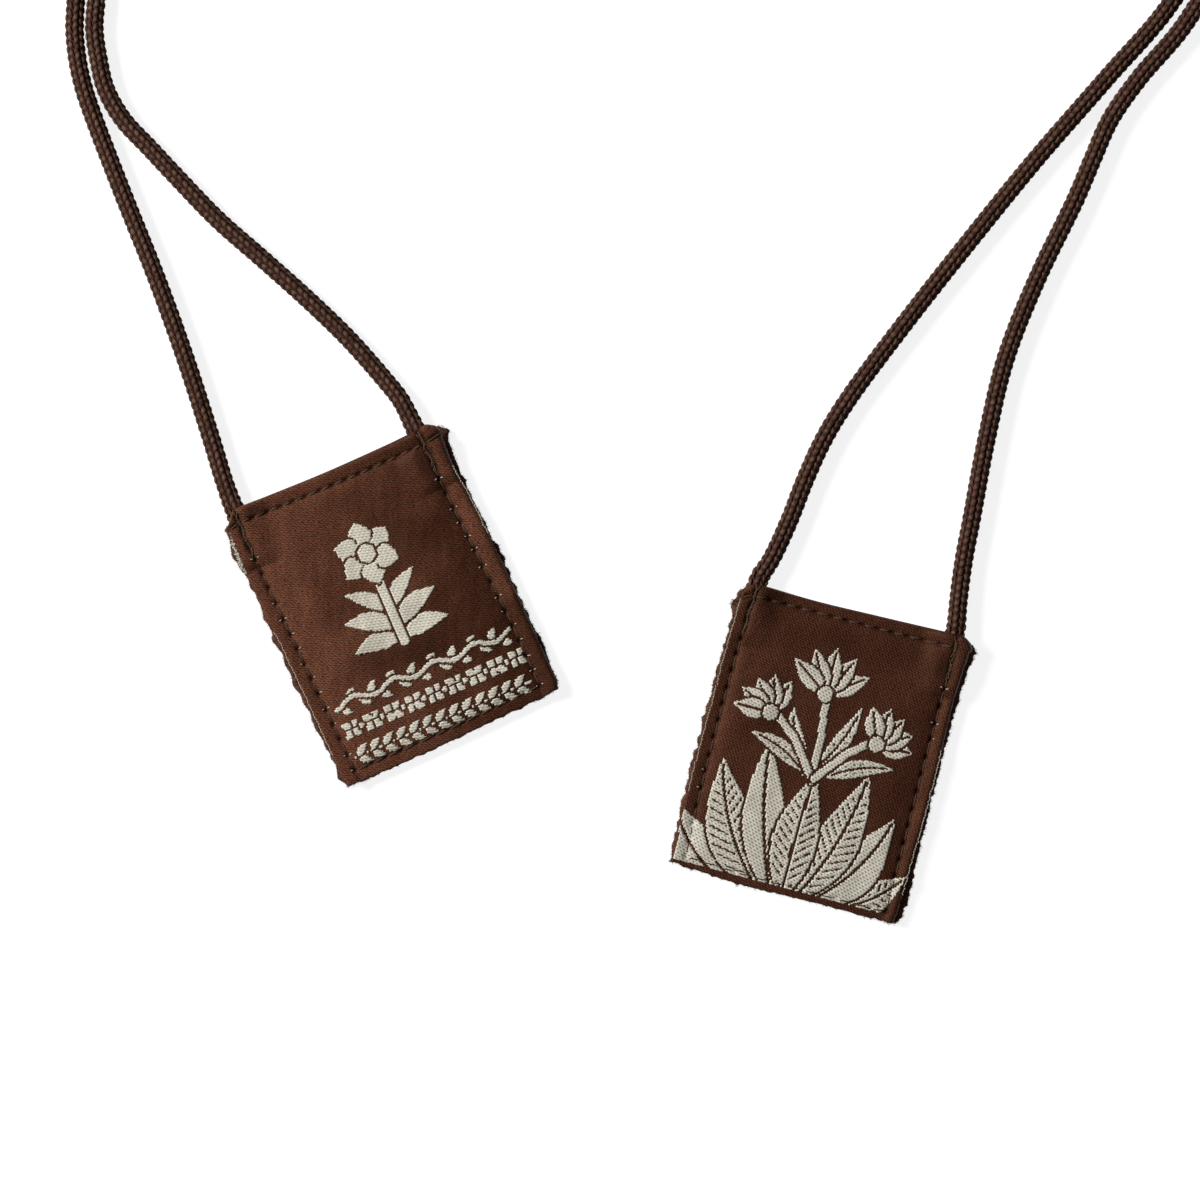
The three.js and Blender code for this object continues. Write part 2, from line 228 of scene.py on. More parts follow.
# The loose fibres on each cord, and how far from its middle they leave it.
CORD_HAIRS = 420
CORD_HAIR_LENGTH = 0.3
CORD_HAIR_RADIUS = 0.022
CORD_HAIR_RING = 1.15
# From the mouth, the cord takes this far to become round.
CORD_SQUASH_REACH = 4.0
# A limp braid spreads a little where it lies.
CORD_SPREAD = 1.07

# The sewing thread's radius, in the top seam and elsewhere.
TOP_THREAD = 0.15
THREAD = 0.12
# Half the width and thickness of the cut yarn ends, beside the stitches and along a cut edge.
HOLE_END = (0.09, 0.07)
EDGE_END = (0.075, 0.07)
FRINGE_LENGTH = 0.38
FRINGE_RADIUS = 0.055
# The cells that the woven designs are drawn in. Real floats are finer.
CELL_WIDE = 0.28
CELL_TALL = 0.2
# How far the cells stand above the label and reach into it.
CELL_RISE = 0.09
CELL_SINK = 0.1
# The brown outline that a shape leaves in what lies under it.
OUTLINE = 0.34

# Half the length and width of the dip at each needle hole, by seam.
PIT_SIZES = {"top": (0.5, 0.27), "left": (0.44, 0.3), "right": (0.44, 0.3), "bottom": (0.4, 0.28)}


# Colours and materials

def linear(hex_colour):
    """An sRGB hex colour as the linear colour that Blender works in."""
    parts = [int(hex_colour[i:i + 2], 16) / 255 for i in (1, 3, 5)]
    bent = [c / 12.92 if c <= 0.04045 else ((c + 0.055) / 1.055) ** 2.4 for c in parts]
    return (*bent, 1)


def add_node(tree, kind, inputs=None, **settings):
    """Adds a node with its settings; each input is a value or another node's output."""
    node = tree.nodes.new(kind)
    for name, value in settings.items():
        setattr(node, name, value)
    for name, value in (inputs or {}).items():
        if isinstance(value, bpy.types.NodeSocket):
            tree.links.new(value, node.inputs[name])
        else:
            node.inputs[name].default_value = value
    return node


def new_material(name):
    """A material, its node tree and its shader."""
    material = bpy.data.materials.new(name)
    material.use_nodes = True
    tree = material.node_tree
    return material, tree, tree.nodes["Principled BSDF"]


def set_surface(tree, shader, colour, normal, roughness, specular):
    tree.links.new(colour, shader.inputs["Base Color"])
    tree.links.new(normal, shader.inputs["Normal"])
    shader.inputs["Roughness"].default_value = roughness
    shader.inputs["Specular IOR Level"].default_value = specular


def blend_of(tree, amount, low, high):
    """A colour between two hex colours, or between two colour outputs."""
    ends = [linear(c) if isinstance(c, str) else c for c in (low, high)]
    mix = add_node(tree, "ShaderNodeMix", {0: amount, 6: ends[0], 7: ends[1]}, data_type="RGBA")
    return mix.outputs[2]


def calculate(tree, operation, first, second=0.0):
    return add_node(tree, "ShaderNodeMath", {0: first, 1: second}, operation=operation).outputs[0]


def plus(tree, first, second):
    return calculate(tree, "ADD", first, second)


def times(tree, first, second):
    return calculate(tree, "MULTIPLY", first, second)


def ramped(tree, value, low, high):
    """0 at low, 1 at high and even between them."""
    inputs = {"Value": value, "From Min": low, "From Max": high}
    return add_node(tree, "ShaderNodeMapRange", inputs).outputs[0]


def bumped(tree, height, distance_mm, strength):
    inputs = {"Height": height, "Distance": distance_mm * MM, "Strength": strength}
    return add_node(tree, "ShaderNodeBump", inputs).outputs[0]


def place_of(tree, kind):
    return add_node(tree, "ShaderNodeTexCoord").outputs[kind]


def uv_parts(tree):
    """The two parts of the UV map, which is in millimetres along a cloth or a yarn."""
    split = add_node(tree, "ShaderNodeSeparateXYZ", {0: place_of(tree, "UV")})
    return split.outputs[0], split.outputs[1]


def noise(tree, place, scale, detail):
    inputs = {"Vector": place, "Scale": scale, "Detail": detail}
    return add_node(tree, "ShaderNodeTexNoise", inputs).outputs["Fac"]


def weave_ticks(tree, along_mm, rows_mm, slant, row_share):
    """Small ovals in slanting rows, as where one yarn dips under the next."""
    x, y = uv_parts(tree)
    row = plus(tree, y, times(tree, x, slant))
    # Each row starts nearly half an oval on from the last.
    shifted = plus(tree, x, times(tree, row, 0.45 * along_mm / rows_mm))
    waves = [
        times(tree, calculate(tree, "SINE", times(tree, place, math.tau / pitch)), share)
        for place, pitch, share in ((shifted, along_mm, 1 - row_share), (row, rows_mm, row_share))
    ]
    return plus(tree, *waves)


def streaks(tree, long_mm, thick_mm, turn):
    """Short irregular streaks that lie at a turn in degrees, on the UV map."""
    inputs = {
        "Vector": place_of(tree, "UV"), "Rotation": (0, 0, math.radians(turn)),
        "Scale": (long_mm, thick_mm, 1),
    }
    turned = add_node(tree, "ShaderNodeMapping", inputs, vector_type="TEXTURE")
    return noise(tree, turned.outputs[0], 1.0, 1.0)


def uv_noise(tree, size_mm):
    """Cloudy variation about size_mm across, on the UV map."""
    return noise(tree, place_of(tree, "UV"), 1 / size_mm, 2.0)


def object_noise(tree, size_mm, detail):
    """Cloudy variation about size_mm across, through the object."""
    return noise(tree, place_of(tree, "Object"), 1000 / size_mm, detail)


def satin_label_material(
    name, dark, light, shaded, row_mm, row_weight, slant, sheen_slope, strip_from, shade_band_at, shade_band_depth
):
    """Brown polyester label satin, woven. It gives fine slanting rows of floats and a soft brown shine, with
    painted sheen and shade across it and painted shade in its stitch dips.
    """
    material, tree, shader = new_material(name)
    # Real floats are 0.3 mm apart, too fine for the picture, so the rows are drawn farther apart.
    rows = weave_ticks(tree, 1.6 * row_mm, row_mm, slant, 0.55)
    grain = plus(tree, times(tree, rows, row_weight), streaks(tree, 0.4, 0.2, -17))
    fine = blend_of(tree, ramped(tree, grain, 0.25, 0.83), dark, light)
    # Painted sheen and shade: the satin is painted paler on one side and darker on the other, as light falls
    # on it, with clouds of painted shade over it.
    across, along = uv_parts(tree)
    shade_cloud = times(tree, plus(tree, uv_noise(tree, 9), -0.5), 34.0)
    place = plus(tree, times(tree, across, sheen_slope), shade_cloud)
    # Painted light: the puffed right strip is painted paler, as where it catches more light, all but its
    # lower end.
    strip = times(tree, ramped(tree, across, strip_from, strip_from + 0.8), -22.0)
    place = plus(tree, place, times(tree, strip, ramped(tree, along, -16.0, -4.0)))
    # Painted shade: a band across the panel is painted duller, as shade where the cloth dips.
    off_shade_band = calculate(tree, "ABSOLUTE", plus(tree, along, -shade_band_at))
    band_shade = times(tree, ramped(tree, off_shade_band, 3.2, 0.4), shade_band_depth)
    place = plus(tree, place, times(tree, band_shade, ramped(tree, across, -11.0, -5.0)))
    shade = blend_of(tree, ramped(tree, place, -13.0, 11.0), "#ffffff", shaded)
    mix = {0: 1.0, 6: fine, 7: shade}
    colour = add_node(tree, "ShaderNodeMix", mix, data_type="RGBA", blend_type="MULTIPLY").outputs[2]
    # Painted shade: the dips that the stitches press into the cloth are painted dark.
    pit_shade = add_node(tree, "ShaderNodeAttribute", attribute_name="pit_shade").outputs["Fac"]
    colour = blend_of(tree, pit_shade, colour, "#150b08")
    set_surface(tree, shader, colour, bumped(tree, grain, 0.06, 0.5), 0.52, 0.22)
    shader.inputs["Specular Tint"].default_value = linear("#b07a5c")
    return material


def cream_weft_material(name, dip_colour):
    """Cream polyester weft floated over the brown ground. It gives pale rows with small brown dips."""
    material, tree, shader = new_material(name)
    # Real floats are 0.3 mm apart, too fine for the picture, so the rows are drawn 0.42 mm apart.
    ticks = weave_ticks(tree, 0.62, 0.42, 0.29, 0.68)
    cream = blend_of(tree, ramped(tree, uv_noise(tree, 0.5), 0.3, 0.7), "#a6a295", "#bbb8a9")
    colour = blend_of(tree, ramped(tree, ticks, 0.38, 0.82), cream, dip_colour)
    set_surface(tree, shader, colour, bumped(tree, times(tree, ticks, -1.0), 0.05, 0.6), 0.65, 0.25)
    return material


def felt_material():
    """Brown wool felt, milled and cut. It gives a matt dark body with tangled lighter fibres."""
    material, tree, shader = new_material("milled_wool_felt")
    fibres = times(tree, object_noise(tree, 0.35, 4.0), 0.7)
    tone = plus(tree, fibres, times(tree, object_noise(tree, 1.6, 2.0), 0.3))
    colour = blend_of(tree, ramped(tree, tone, 0.38, 0.66), "#2c1810", "#5c3d2d")
    set_surface(tree, shader, colour, bumped(tree, tone, 0.35, 0.8), 0.95, 0.1)
    return material


def braid_material():
    """Brown polyester yarn, braided. It gives rounded plaits with fine filaments, painted highlights on
    their tops and painted shade in the gaps.
    """
    material, tree, shader = new_material("braided_polyester_yarn")
    # The UV map runs along the yarn in millimetres and once round it, past fourteen filaments.
    _, round_it = uv_parts(tree)
    filaments = calculate(tree, "SINE", times(tree, round_it, math.tau * 14))
    patches = uv_noise(tree, 0.8)
    tone = plus(tree, patches, times(tree, filaments, 0.12))
    rise = add_node(tree, "ShaderNodeAttribute", attribute_name="rise").outputs["Fac"]
    colour = blend_of(tree, ramped(tree, tone, 0.3, 0.75), "#2e1c16", "#453027")
    # Painted highlight: the tops of the plaits are painted a lighter tan, some more than others.
    crown_highlight = times(tree, ramped(tree, rise, 0.7, 1.0), ramped(tree, patches, 0.3, 0.6))
    colour = blend_of(tree, crown_highlight, colour, "#5b4638")
    # Painted shade: the dips between the plaits are painted darker.
    colour = blend_of(tree, ramped(tree, rise, 0.25, 0.85), "#331b17", colour)
    set_surface(tree, shader, colour, bumped(tree, tone, 0.05, 0.6), 0.8, 0.06)
    return material


def thread_material(name, dark, light):
    """Twisted sewing thread. It gives a thin line with slanting plies, two round it and 0.45 mm apart."""
    material, tree, shader = new_material(name)
    along, round_it = uv_parts(tree)
    turn = plus(tree, times(tree, along, math.tau / 0.45), times(tree, round_it, math.tau * 2))
    plies = calculate(tree, "SINE", turn)
    colour = blend_of(tree, ramped(tree, plies, -1.0, 1.0), dark, light)
    set_surface(tree, shader, colour, bumped(tree, plies, 0.03, 0.6), 0.7, 0.12)
    return material


def table_top_material():
    """White acrylic table, lit from below. It gives a plain white ground with faint shadows."""
    material, tree, shader = new_material("lit_white_acrylic")
    grain = object_noise(tree, 4, 3.0)
    tree.links.new(blend_of(tree, grain, "#828282", "#868686"), shader.inputs["Base Color"])
    shader.inputs["Emission Color"].default_value = linear("#ffffff")
    shader.inputs["Emission Strength"].default_value = 0.85
    shader.inputs["Roughness"].default_value = 0.9
    shader.inputs["Specular IOR Level"].default_value = 0.1
    return material


# Reading the tables

def eased(table, at):
    """The table's columns at any places of its first column, in a smooth run through its rows."""
    places, values = table[:, 0], table[:, 1:]
    at = np.clip(np.asarray(at, float), places[0], places[-1])
    slopes = np.gradient(values, places, axis=0)
    row = np.clip(np.searchsorted(places, at, side="right") - 1, 0, len(places) - 2)
    span = (places[row + 1] - places[row])[..., None]
    t = (at - places[row])[..., None] / span
    return (
        (2 * t ** 3 - 3 * t ** 2 + 1) * values[row]
        + (t ** 3 - 2 * t ** 2 + t) * span * slopes[row]
        + (3 * t ** 2 - 2 * t ** 3) * values[row + 1]
        + (t ** 3 - t ** 2) * span * slopes[row + 1]
    )


def between(stops, place):
    """The value at a place from 0 to 3, where the whole numbers have the four values given."""
    first = np.clip(np.floor(place).astype(int), 0, 2)
    low = np.take_along_axis(stops, first[..., None], -1)[..., 0]
    high = np.take_along_axis(stops, first[..., None] + 1, -1)[..., 0]
    return low + (high - low) * (place - first)


def place_among(stops, value):
    """The place from 0 to 3 of a value among four rising stops."""
    place = np.zeros_like(value)
    for i in range(3):
        low, high = stops[..., i], stops[..., i + 1]
        place += np.clip((value - low) / (high - low), 0, 1)
    return place


def across_and_down(panel, x, y):
    """Where a point of the panel lies in its grid of edges and seams."""
    across = np.full_like(x, 1.5)
    down = np.full_like(x, 1.5)
    for _ in range(5):
        across = place_among(eased(panel["sides"], down)[..., :4], x)
        down = place_among(-eased(panel["ends"], across)[..., :4], -y)
    return across, down


def down_at(panel, place, y):
    """Where each y lies in the panel's rows, at one place across it."""
    ends = eased(panel["ends"], np.full_like(y, place))
    return place_among(-ends[..., :4], -y)


def seam_point(panel, seam, run):
    """Points of one of the four seams, by the y of a side seam and the x of an end seam."""
    run = np.asarray(run, float)
    line = 1 if seam in ("left", "top") else 2
    if seam in ("left", "right"):
        x = eased(panel["sides"], down_at(panel, line, run))[..., line]
        return np.stack([x, run], -1)
    sides = eased(panel["sides"], np.full_like(run, line))
    y = eased(panel["ends"], place_among(sides[..., :4], run))[..., line]
    return np.stack([run, y], -1)


def unevenness(seed, shortest, longest, count=14):
    """A smooth uneven field of about -1 to 1, from waves of many lengths and directions."""
    draw = np.random.default_rng(seed)
    lengths = np.exp(draw.uniform(math.log(shortest), math.log(longest), count))
    angles = draw.uniform(0, math.tau, count)
    shifts = draw.uniform(0, math.tau, count)

    def field(x, y):
        total = np.zeros(np.broadcast(x, y).shape)
        for length, angle, shift in zip(lengths, angles, shifts):
            total += np.sin(math.tau * (x * math.cos(angle) + y * math.sin(angle)) / length + shift)
        return total / math.sqrt(count)

    return field


# Heights over a panel

def rise_from(distance):
    """From 0 at a seam to nearly 1 beyond its reach."""
    return 1 - np.exp(-np.abs(distance) / SEAM_REACH)


def along_and_aside(x, y, from_x, from_y, run_x, run_y):
    """How far each place is along a run from a point and to the left of it, times the run's length."""
    return (x - from_x) * run_x + (y - from_y) * run_y, (y - from_y) * run_x - (x - from_x) * run_y


def off_line(x, y, from_x, from_y, to_x, to_y):
    """How far each place is from a straight line between two points."""
    run_x, run_y = to_x - from_x, to_y - from_y
    along, _ = along_and_aside(x, y, from_x, from_y, run_x, run_y)
    share = np.clip(along / (run_x ** 2 + run_y ** 2), 0, 1)
    return np.hypot(x - from_x - share * run_x, y - from_y - share * run_y)


def bell(distance, reach):
    """1 at no distance, falling off smoothly round it."""
    return np.exp(-((distance / reach) ** 2))


def crease_over(crease, x, y):
    """A soft ridge along a line, or a trough where its height is below 0."""
    *ends, height, reach = crease
    return height * bell(off_line(x, y, *ends), reach)


def drape_over(panel, across, down, x, y):
    """The cloth is pressed down at the stitches and puffs up between them."""
    side = eased(panel["sides"], down)
    end = eased(panel["ends"], across)
    left, right = rise_from(x - side[..., 1]), rise_from(x - side[..., 2])
    top, bottom = rise_from(y - end[..., 1]), rise_from(y - end[..., 2])
    wobble = 1 + WOBBLE * unevenness(panel["seed"], 5, 14)(x, y)
    creased = PILLOW + sum(crease_over(c, x, y) for c in panel["creases"])
    puff = np.maximum(0, creased) * left * right * top * bottom
    puff = np.where(down <= 1, TOP_FLARE * left * right * top, puff)
    puff = np.where(down >= 2, LOW_DROOP * left * right * bottom, puff)
    puff = np.where(across <= 1, panel["flare"][0] * left, puff)
    puff = np.where(across >= 2, panel["flare"][1] * right, puff)
    return puff * wobble


def tuck_lift(panel, x, y):
    """How far the cords' flattened ends lift the label."""
    lift = np.zeros_like(x)
    for mouth_x, mouth_y, end_x, end_y in panel["tucks"]:
        run_x, run_y = end_x - mouth_x, end_y - mouth_y
        length = math.hypot(run_x, run_y)
        along, aside = along_and_aside(x, y, mouth_x, mouth_y, run_x, run_y)
        along, aside = along / length, aside / length
        # The narrow strip outside the seam is stiff, so it falls off less than the middle.
        away = np.where(aside * mouth_x > 0, 0.5, 0.65) * np.abs(aside)
        height = eased(TUCK_SECTIONS, np.clip(along / length, 0, 1))[..., 1]
        past = np.clip((along - length) / TUCK_FADE, 0, 1)
        spread = np.cos(np.pi / 2 * np.minimum(1, away / TUCK_SPREAD)) ** 2
        lift = np.maximum(lift, (height + SEAM_GAP) * spread * (1 - past * past))
    return lift


def needle_pits(panel, x, y):
    """Long dimples where the thread pulls the cloth down, from 0 to 1. The label is also painted darker by
    this much, as shade in the dips.
    """
    depth = np.zeros_like(x)
    for pit_x, pit_y, run_x, run_y, long, wide, pull in panel["pits"]:
        along, aside = along_and_aside(x, y, pit_x, pit_y, run_x, run_y)
        depth = np.maximum(depth, pull * np.exp(-((along / long) ** 2) - (aside / wide) ** 2))
    return depth


def label_top(panel, x, y, across=None, down=None):
    """The height of the label's upper face."""
    if across is None:
        across, down = across_and_down(panel, x, y)
    lift = drape_over(panel, across, down, x, y) + tuck_lift(panel, x, y)
    pucker = PUCKER * unevenness(panel["seed"] + 1, 1.6, 5)(x, y)
    return CLOTH + SEAM_GAP + LABEL_THICKNESS + lift + pucker - NEEDLE_PULL * needle_pits(panel, x, y)


def rolled(distance, radius):
    """How far an edge of this radius has turned down, at a distance in from the edge."""
    inside = np.clip(distance, 0, radius)
    return radius - np.sqrt(np.maximum(0, radius ** 2 - (radius - inside) ** 2))


def laid(panel, points):
    """Puts points of a panel, in its own millimetres, where the panel lies, in metres."""
    turn = math.radians(panel["turn"])
    x, y, z = points[..., 0], points[..., 1], points[..., 2]
    return MM * np.stack([
        panel["middle"][0] + x * math.cos(turn) - y * math.sin(turn),
        panel["middle"][1] + x * math.sin(turn) + y * math.cos(turn),
        z,
    ], -1)


def unit(vectors):
    return vectors / np.maximum(np.linalg.norm(vectors, axis=-1, keepdims=True), 1e-9)


def laid_heading(panel, headings):
    """Directions of a panel, as it lies."""
    return (laid(panel, headings) - laid(panel, np.zeros((1, 3)))) / MM


# Making meshes

def as_mesh(shape, name):
    """Turns a bmesh into a new mesh."""
    mesh = bpy.data.meshes.new(name)
    shape.to_mesh(mesh)
    shape.free()
    return mesh


def keep_value(mesh, name, values):
    """Keeps a number on each vertex, for the material."""
    mesh.attributes.new(name, "FLOAT", "POINT").data.foreach_set("value", values.astype(np.float32))


def grid_mesh(columns, rows, thick=False, keep=None):
    """A grid of cells as one mesh, with each vertex's column, row and layer.

    keep is a table of cells, rows by columns, that leaves out the cells where it is false. A thick grid gets
    a second layer under the first and walls between them.
    """
    shape = bmesh.new()
    bmesh.ops.create_grid(shape, x_segments=columns, y_segments=rows, size=0.5)
    if keep is not None:
        gone = []
        for face in shape.faces:
            middle = face.calc_center_median()
            column, row = int((middle.x + 0.5) * columns), int((middle.y + 0.5) * rows)
            if not keep[row, column]:
                gone.append(face)
        bmesh.ops.delete(shape, geom=gone, context="FACES")
    if thick:
        whole = shape.faces[:] + shape.edges[:] + shape.verts[:]
        under = bmesh.ops.extrude_face_region(shape, geom=whole, use_keep_orig=True)["geom"]
        under = [part for part in under if isinstance(part, bmesh.types.BMVert)]
        bmesh.ops.translate(shape, verts=under, vec=(0, 0, -1))
        bmesh.ops.recalc_face_normals(shape, faces=shape.faces)
    mesh = as_mesh(shape, "grid")
    places = np.empty(len(mesh.vertices) * 3, np.float32)
    mesh.vertices.foreach_get("co", places)
    places = places.reshape(-1, 3)
    column = np.rint((places[:, 0] + 0.5) * columns).astype(int)
    row = np.rint((places[:, 1] + 0.5) * rows).astype(int)
    layer = np.rint(-places[:, 2]).astype(int)
    return mesh, column, row, layer


def place_mesh(mesh, points, flat):
    """Moves a mesh's vertices to their points and writes its UV map from their flat places."""
    mesh.vertices.foreach_set("co", points.astype(np.float32).ravel())
    corners = np.empty(len(mesh.loops), np.int32)
    mesh.loops.foreach_get("vertex_index", corners)
    layer = mesh.uv_layers.new(name="flat_millimetres")
    layer.data.foreach_set("uv", flat[corners].astype(np.float32).ravel())
    mesh.update()
    return mesh


def cloth_mesh(top, under, flat, pit_shade=None):
    """A closed cloth between two faces given as rows of points. The optional last argument, from 0 to 1 at a
    stitch, is painted shade for the material.
    """
    rows, columns = top.shape[0] - 1, top.shape[1] - 1
    mesh, column, row, layer = grid_mesh(columns, rows, thick=True)
    points = np.where(layer[:, None] == 0, top[row, column], under[row, column])
    if pit_shade is not None:
        # Painted shade: the material darkens the cloth by this value.
        keep_value(mesh, "pit_shade", pit_shade[row, column])
    return place_mesh(mesh, points, flat[row, column])


def tube_mesh(centre, across, out, half_width, half_thickness, sides, rise=1.0):
    """Closed tubes in one mesh. centre is tubes by stations by 3, and across and out set each section.

    rise, from 0 to 1, is how far each station stands out of the braid; the braid's material paints its
    highlights and its shade by it.
    """
    tubes, stations = centre.shape[:2]
    ring = sides + 1
    rows = tubes * ring - 1
    keep = np.ones((rows, stations - 1), bool)
    keep[ring - 1::ring] = False
    mesh, column, row, _ = grid_mesh(stations - 1, rows, keep=keep)
    tube, corner = row // ring, row % ring
    angle = math.tau * (corner % sides) / sides
    wide = np.broadcast_to(half_width, (tubes, stations))[tube, column] * np.cos(angle)
    tall = np.broadcast_to(half_thickness, (tubes, stations))[tube, column] * np.sin(angle)
    points = centre[tube, column] + wide[:, None] * across[tube, column] + tall[:, None] * out[tube, column]
    step = np.linalg.norm(np.diff(centre, axis=1), axis=-1)
    along = np.concatenate([np.zeros((tubes, 1)), np.cumsum(step, axis=1)], axis=1) / MM
    flat = np.stack([along[tube, column] + 3.7 * tube, corner / sides], -1)
    place_mesh(mesh, points, flat)
    keep_value(mesh, "rise", np.broadcast_to(rise, (tubes, stations))[tube, column])
    shape = bmesh.new()
    shape.from_mesh(mesh)
    bmesh.ops.remove_doubles(shape, verts=shape.verts, dist=1e-7)
    bmesh.ops.holes_fill(shape, edges=[e for e in shape.edges if e.is_boundary], sides=0)
    bmesh.ops.recalc_face_normals(shape, faces=shape.faces)
    shape.to_mesh(mesh)
    shape.free()
    return mesh


def joined(meshes):
    """Several meshes as one."""
    shape = bmesh.new()
    for mesh in meshes:
        shape.from_mesh(mesh)
        bpy.data.meshes.remove(mesh)
    return as_mesh(shape, "joined")


def add_object(name, data):
    """Links a new object to the scene."""
    thing = bpy.data.objects.new(name, data)
    bpy.context.scene.collection.objects.link(thing)
    return thing


def add_piece(name, mesh, material):
    """Puts a mesh in the scene as a piece of the part."""
    mesh.name = name
    mesh.shade_smooth()
    mesh.materials.append(material)
    piece = add_object(name, mesh)
    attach(piece, BODY)
    return piece


def directions(centre):
    """Unit vectors along, across and out of lines of points that lie nearly flat."""
    along = unit(np.gradient(centre, axis=-2))
    up = np.zeros_like(along)
    up[..., 2] = 1
    across = unit(np.cross(along, up))
    return along, across, np.cross(across, along)


def fibre_mesh(roots, heading, length, radius, seed):
    """Loose fibres in one mesh, each a thin bent tube that leaves its root along heading."""
    draw = np.random.default_rng(seed)
    count = len(roots)
    share = np.linspace(0, 1, 4)[None, :, None]
    bend = draw.normal(0, 0.45, (count, 1, 3))
    bend[..., 2] = np.abs(bend[..., 2]) * 0.5
    reach = length * MM * draw.uniform(0.4, 1.3, (count, 1, 1))
    centre = roots[:, None] + reach * (heading[:, None] * share + bend * share ** 2)
    _, across, out = directions(centre)
    return tube_mesh(centre, across, out, radius * MM, radius * MM, 3)


# The camera and the light

def set_up_studio():
    """The camera straight above, one soft box at the left, a faint sky and the table."""
    scene = bpy.context.scene
    lens = bpy.data.cameras.new("camera")
    lens.sensor_width = 36
    lens.lens = 36 * CAMERA_HEIGHT / PHOTO_WIDTH
    lens.clip_start = 0.02
    camera = add_object("camera", lens)
    camera.location = (0, PHOTO_MIDDLE_Y, CAMERA_HEIGHT)
    scene.camera = camera
    scene.view_settings.view_transform = "Standard"

    key = bpy.data.lights.new("key_softbox", "AREA")
    key.energy = KEY_WATTS
    key.size = KEY_SIZE
    key_box = add_object("key_softbox", key)
    key_box.location = KEY_PLACE
    key_box.rotation_euler = (-key_box.location).to_track_quat("-Z", "Y").to_euler()

    world = bpy.data.worlds.new("studio")
    world.use_nodes = True
    sky = world.node_tree.nodes["Background"]
    sky.inputs["Color"].default_value = linear("#ffffff")
    sky.inputs["Strength"].default_value = SKY_STRENGTH
    scene.world = world

    shape = bmesh.new()
    bmesh.ops.create_grid(shape, x_segments=1, y_segments=1, size=TABLE_HALF_WIDTH)
    bmesh.ops.translate(shape, verts=shape.verts, vec=(0, 0, -TABLE_GAP * MM))
    mesh = as_mesh(shape, "table_top")
    mesh.materials.append(table_top_material())
    table = add_object("table_top", mesh)
    # The table only catches the shadows: its own light would wash out the cords' shaded sides.
    table.visible_diffuse = False


# The cords

def part_way(t, low, high, first, second):
    """The point at t on the straight line that is at first for low and at second for high."""
    return (high - t) / (high - low) * first + (t - low) / (high - low) * second


def smooth_route(points, step):
    """A centripetal Catmull-Rom curve through the points, at even steps."""
    points = np.array(points, float)
    points = np.vstack([2 * points[0] - points[1], points, 2 * points[-1] - points[-2]])
    knots = np.concatenate([[0], np.cumsum(np.linalg.norm(np.diff(points, axis=0), axis=1) ** 0.5)])
    fine = []
    for i in range(1, len(points) - 2):
        k = knots[i - 1:i + 3]
        row = points[i - 1:i + 3]
        t = np.linspace(k[1], k[2], 60, endpoint=i == len(points) - 3)[:, None]
        ones = [part_way(t, k[n], k[n + 1], row[n], row[n + 1]) for n in range(3)]
        twos = [part_way(t, k[n], k[n + 2], ones[n], ones[n + 1]) for n in range(2)]
        fine.append(part_way(t, k[1], k[2], *twos))
    fine = np.vstack(fine)
    run = np.concatenate([[0], np.cumsum(np.linalg.norm(np.diff(fine, axis=0), axis=1))])
    even = np.linspace(0, run[-1], round(run[-1] / step) + 1)
    return np.stack([np.interp(even, run, fine[:, i]) for i in range(3)], -1), even


def tucked_points(panel, tuck):
    """The middle of a cord's end between the cloths, from its inner end out to its mouth, in millimetres."""
    mouth, end = np.array(tuck[:2]), np.array(tuck[2:])
    along = TUCK_SECTIONS[::-1, 0]
    plan = mouth + (end - mouth) * along[:, None]
    height = CLOTH + SEAM_GAP + TUCK_SECTIONS[::-1, 2] / 2
    return laid(panel, np.column_stack([plan, height])) / MM


def braid_yarns(line, run, across, out, wide, tall):
    """The braid's yarns as tubes: half of them wind one way round the line and half the other."""
    parts = []
    for way in (1, -1):
        starts = math.tau * np.arange(YARNS_EACH_WAY)[:, None] / YARNS_EACH_WAY
        angle = starts + way * math.tau * run[None] / BRAID_LEAD
        phase = 4 * angle - math.pi / 4
        swing = way * np.cos(phase)
        # A yarn runs nearly along the cord while it is on top, and moves over while it is under.
        angle = angle - way * FLOAT_STRAIGHTENING * np.sin(phase) / 4
        ring = YARN_RING + YARN_WEAVE * swing
        hump = 0.5 + 0.5 * swing
        sine, cosine = np.sin(angle)[..., None], np.cos(angle)[..., None]
        outward = cosine * out * tall[:, None] + sine * across * wide[:, None]
        centre = line + MM * ring[..., None] * outward
        sideways = unit(np.cross(unit(np.gradient(centre, axis=1)), outward))
        half_width, half_thickness = (
            MM * (low + (high - low) * hump) for low, high in (YARN_HALF_WIDTH, YARN_HALF_THICKNESS)
        )
        parts.append(tube_mesh(centre, sideways, outward, half_width, half_thickness, 5, hump))
    return parts


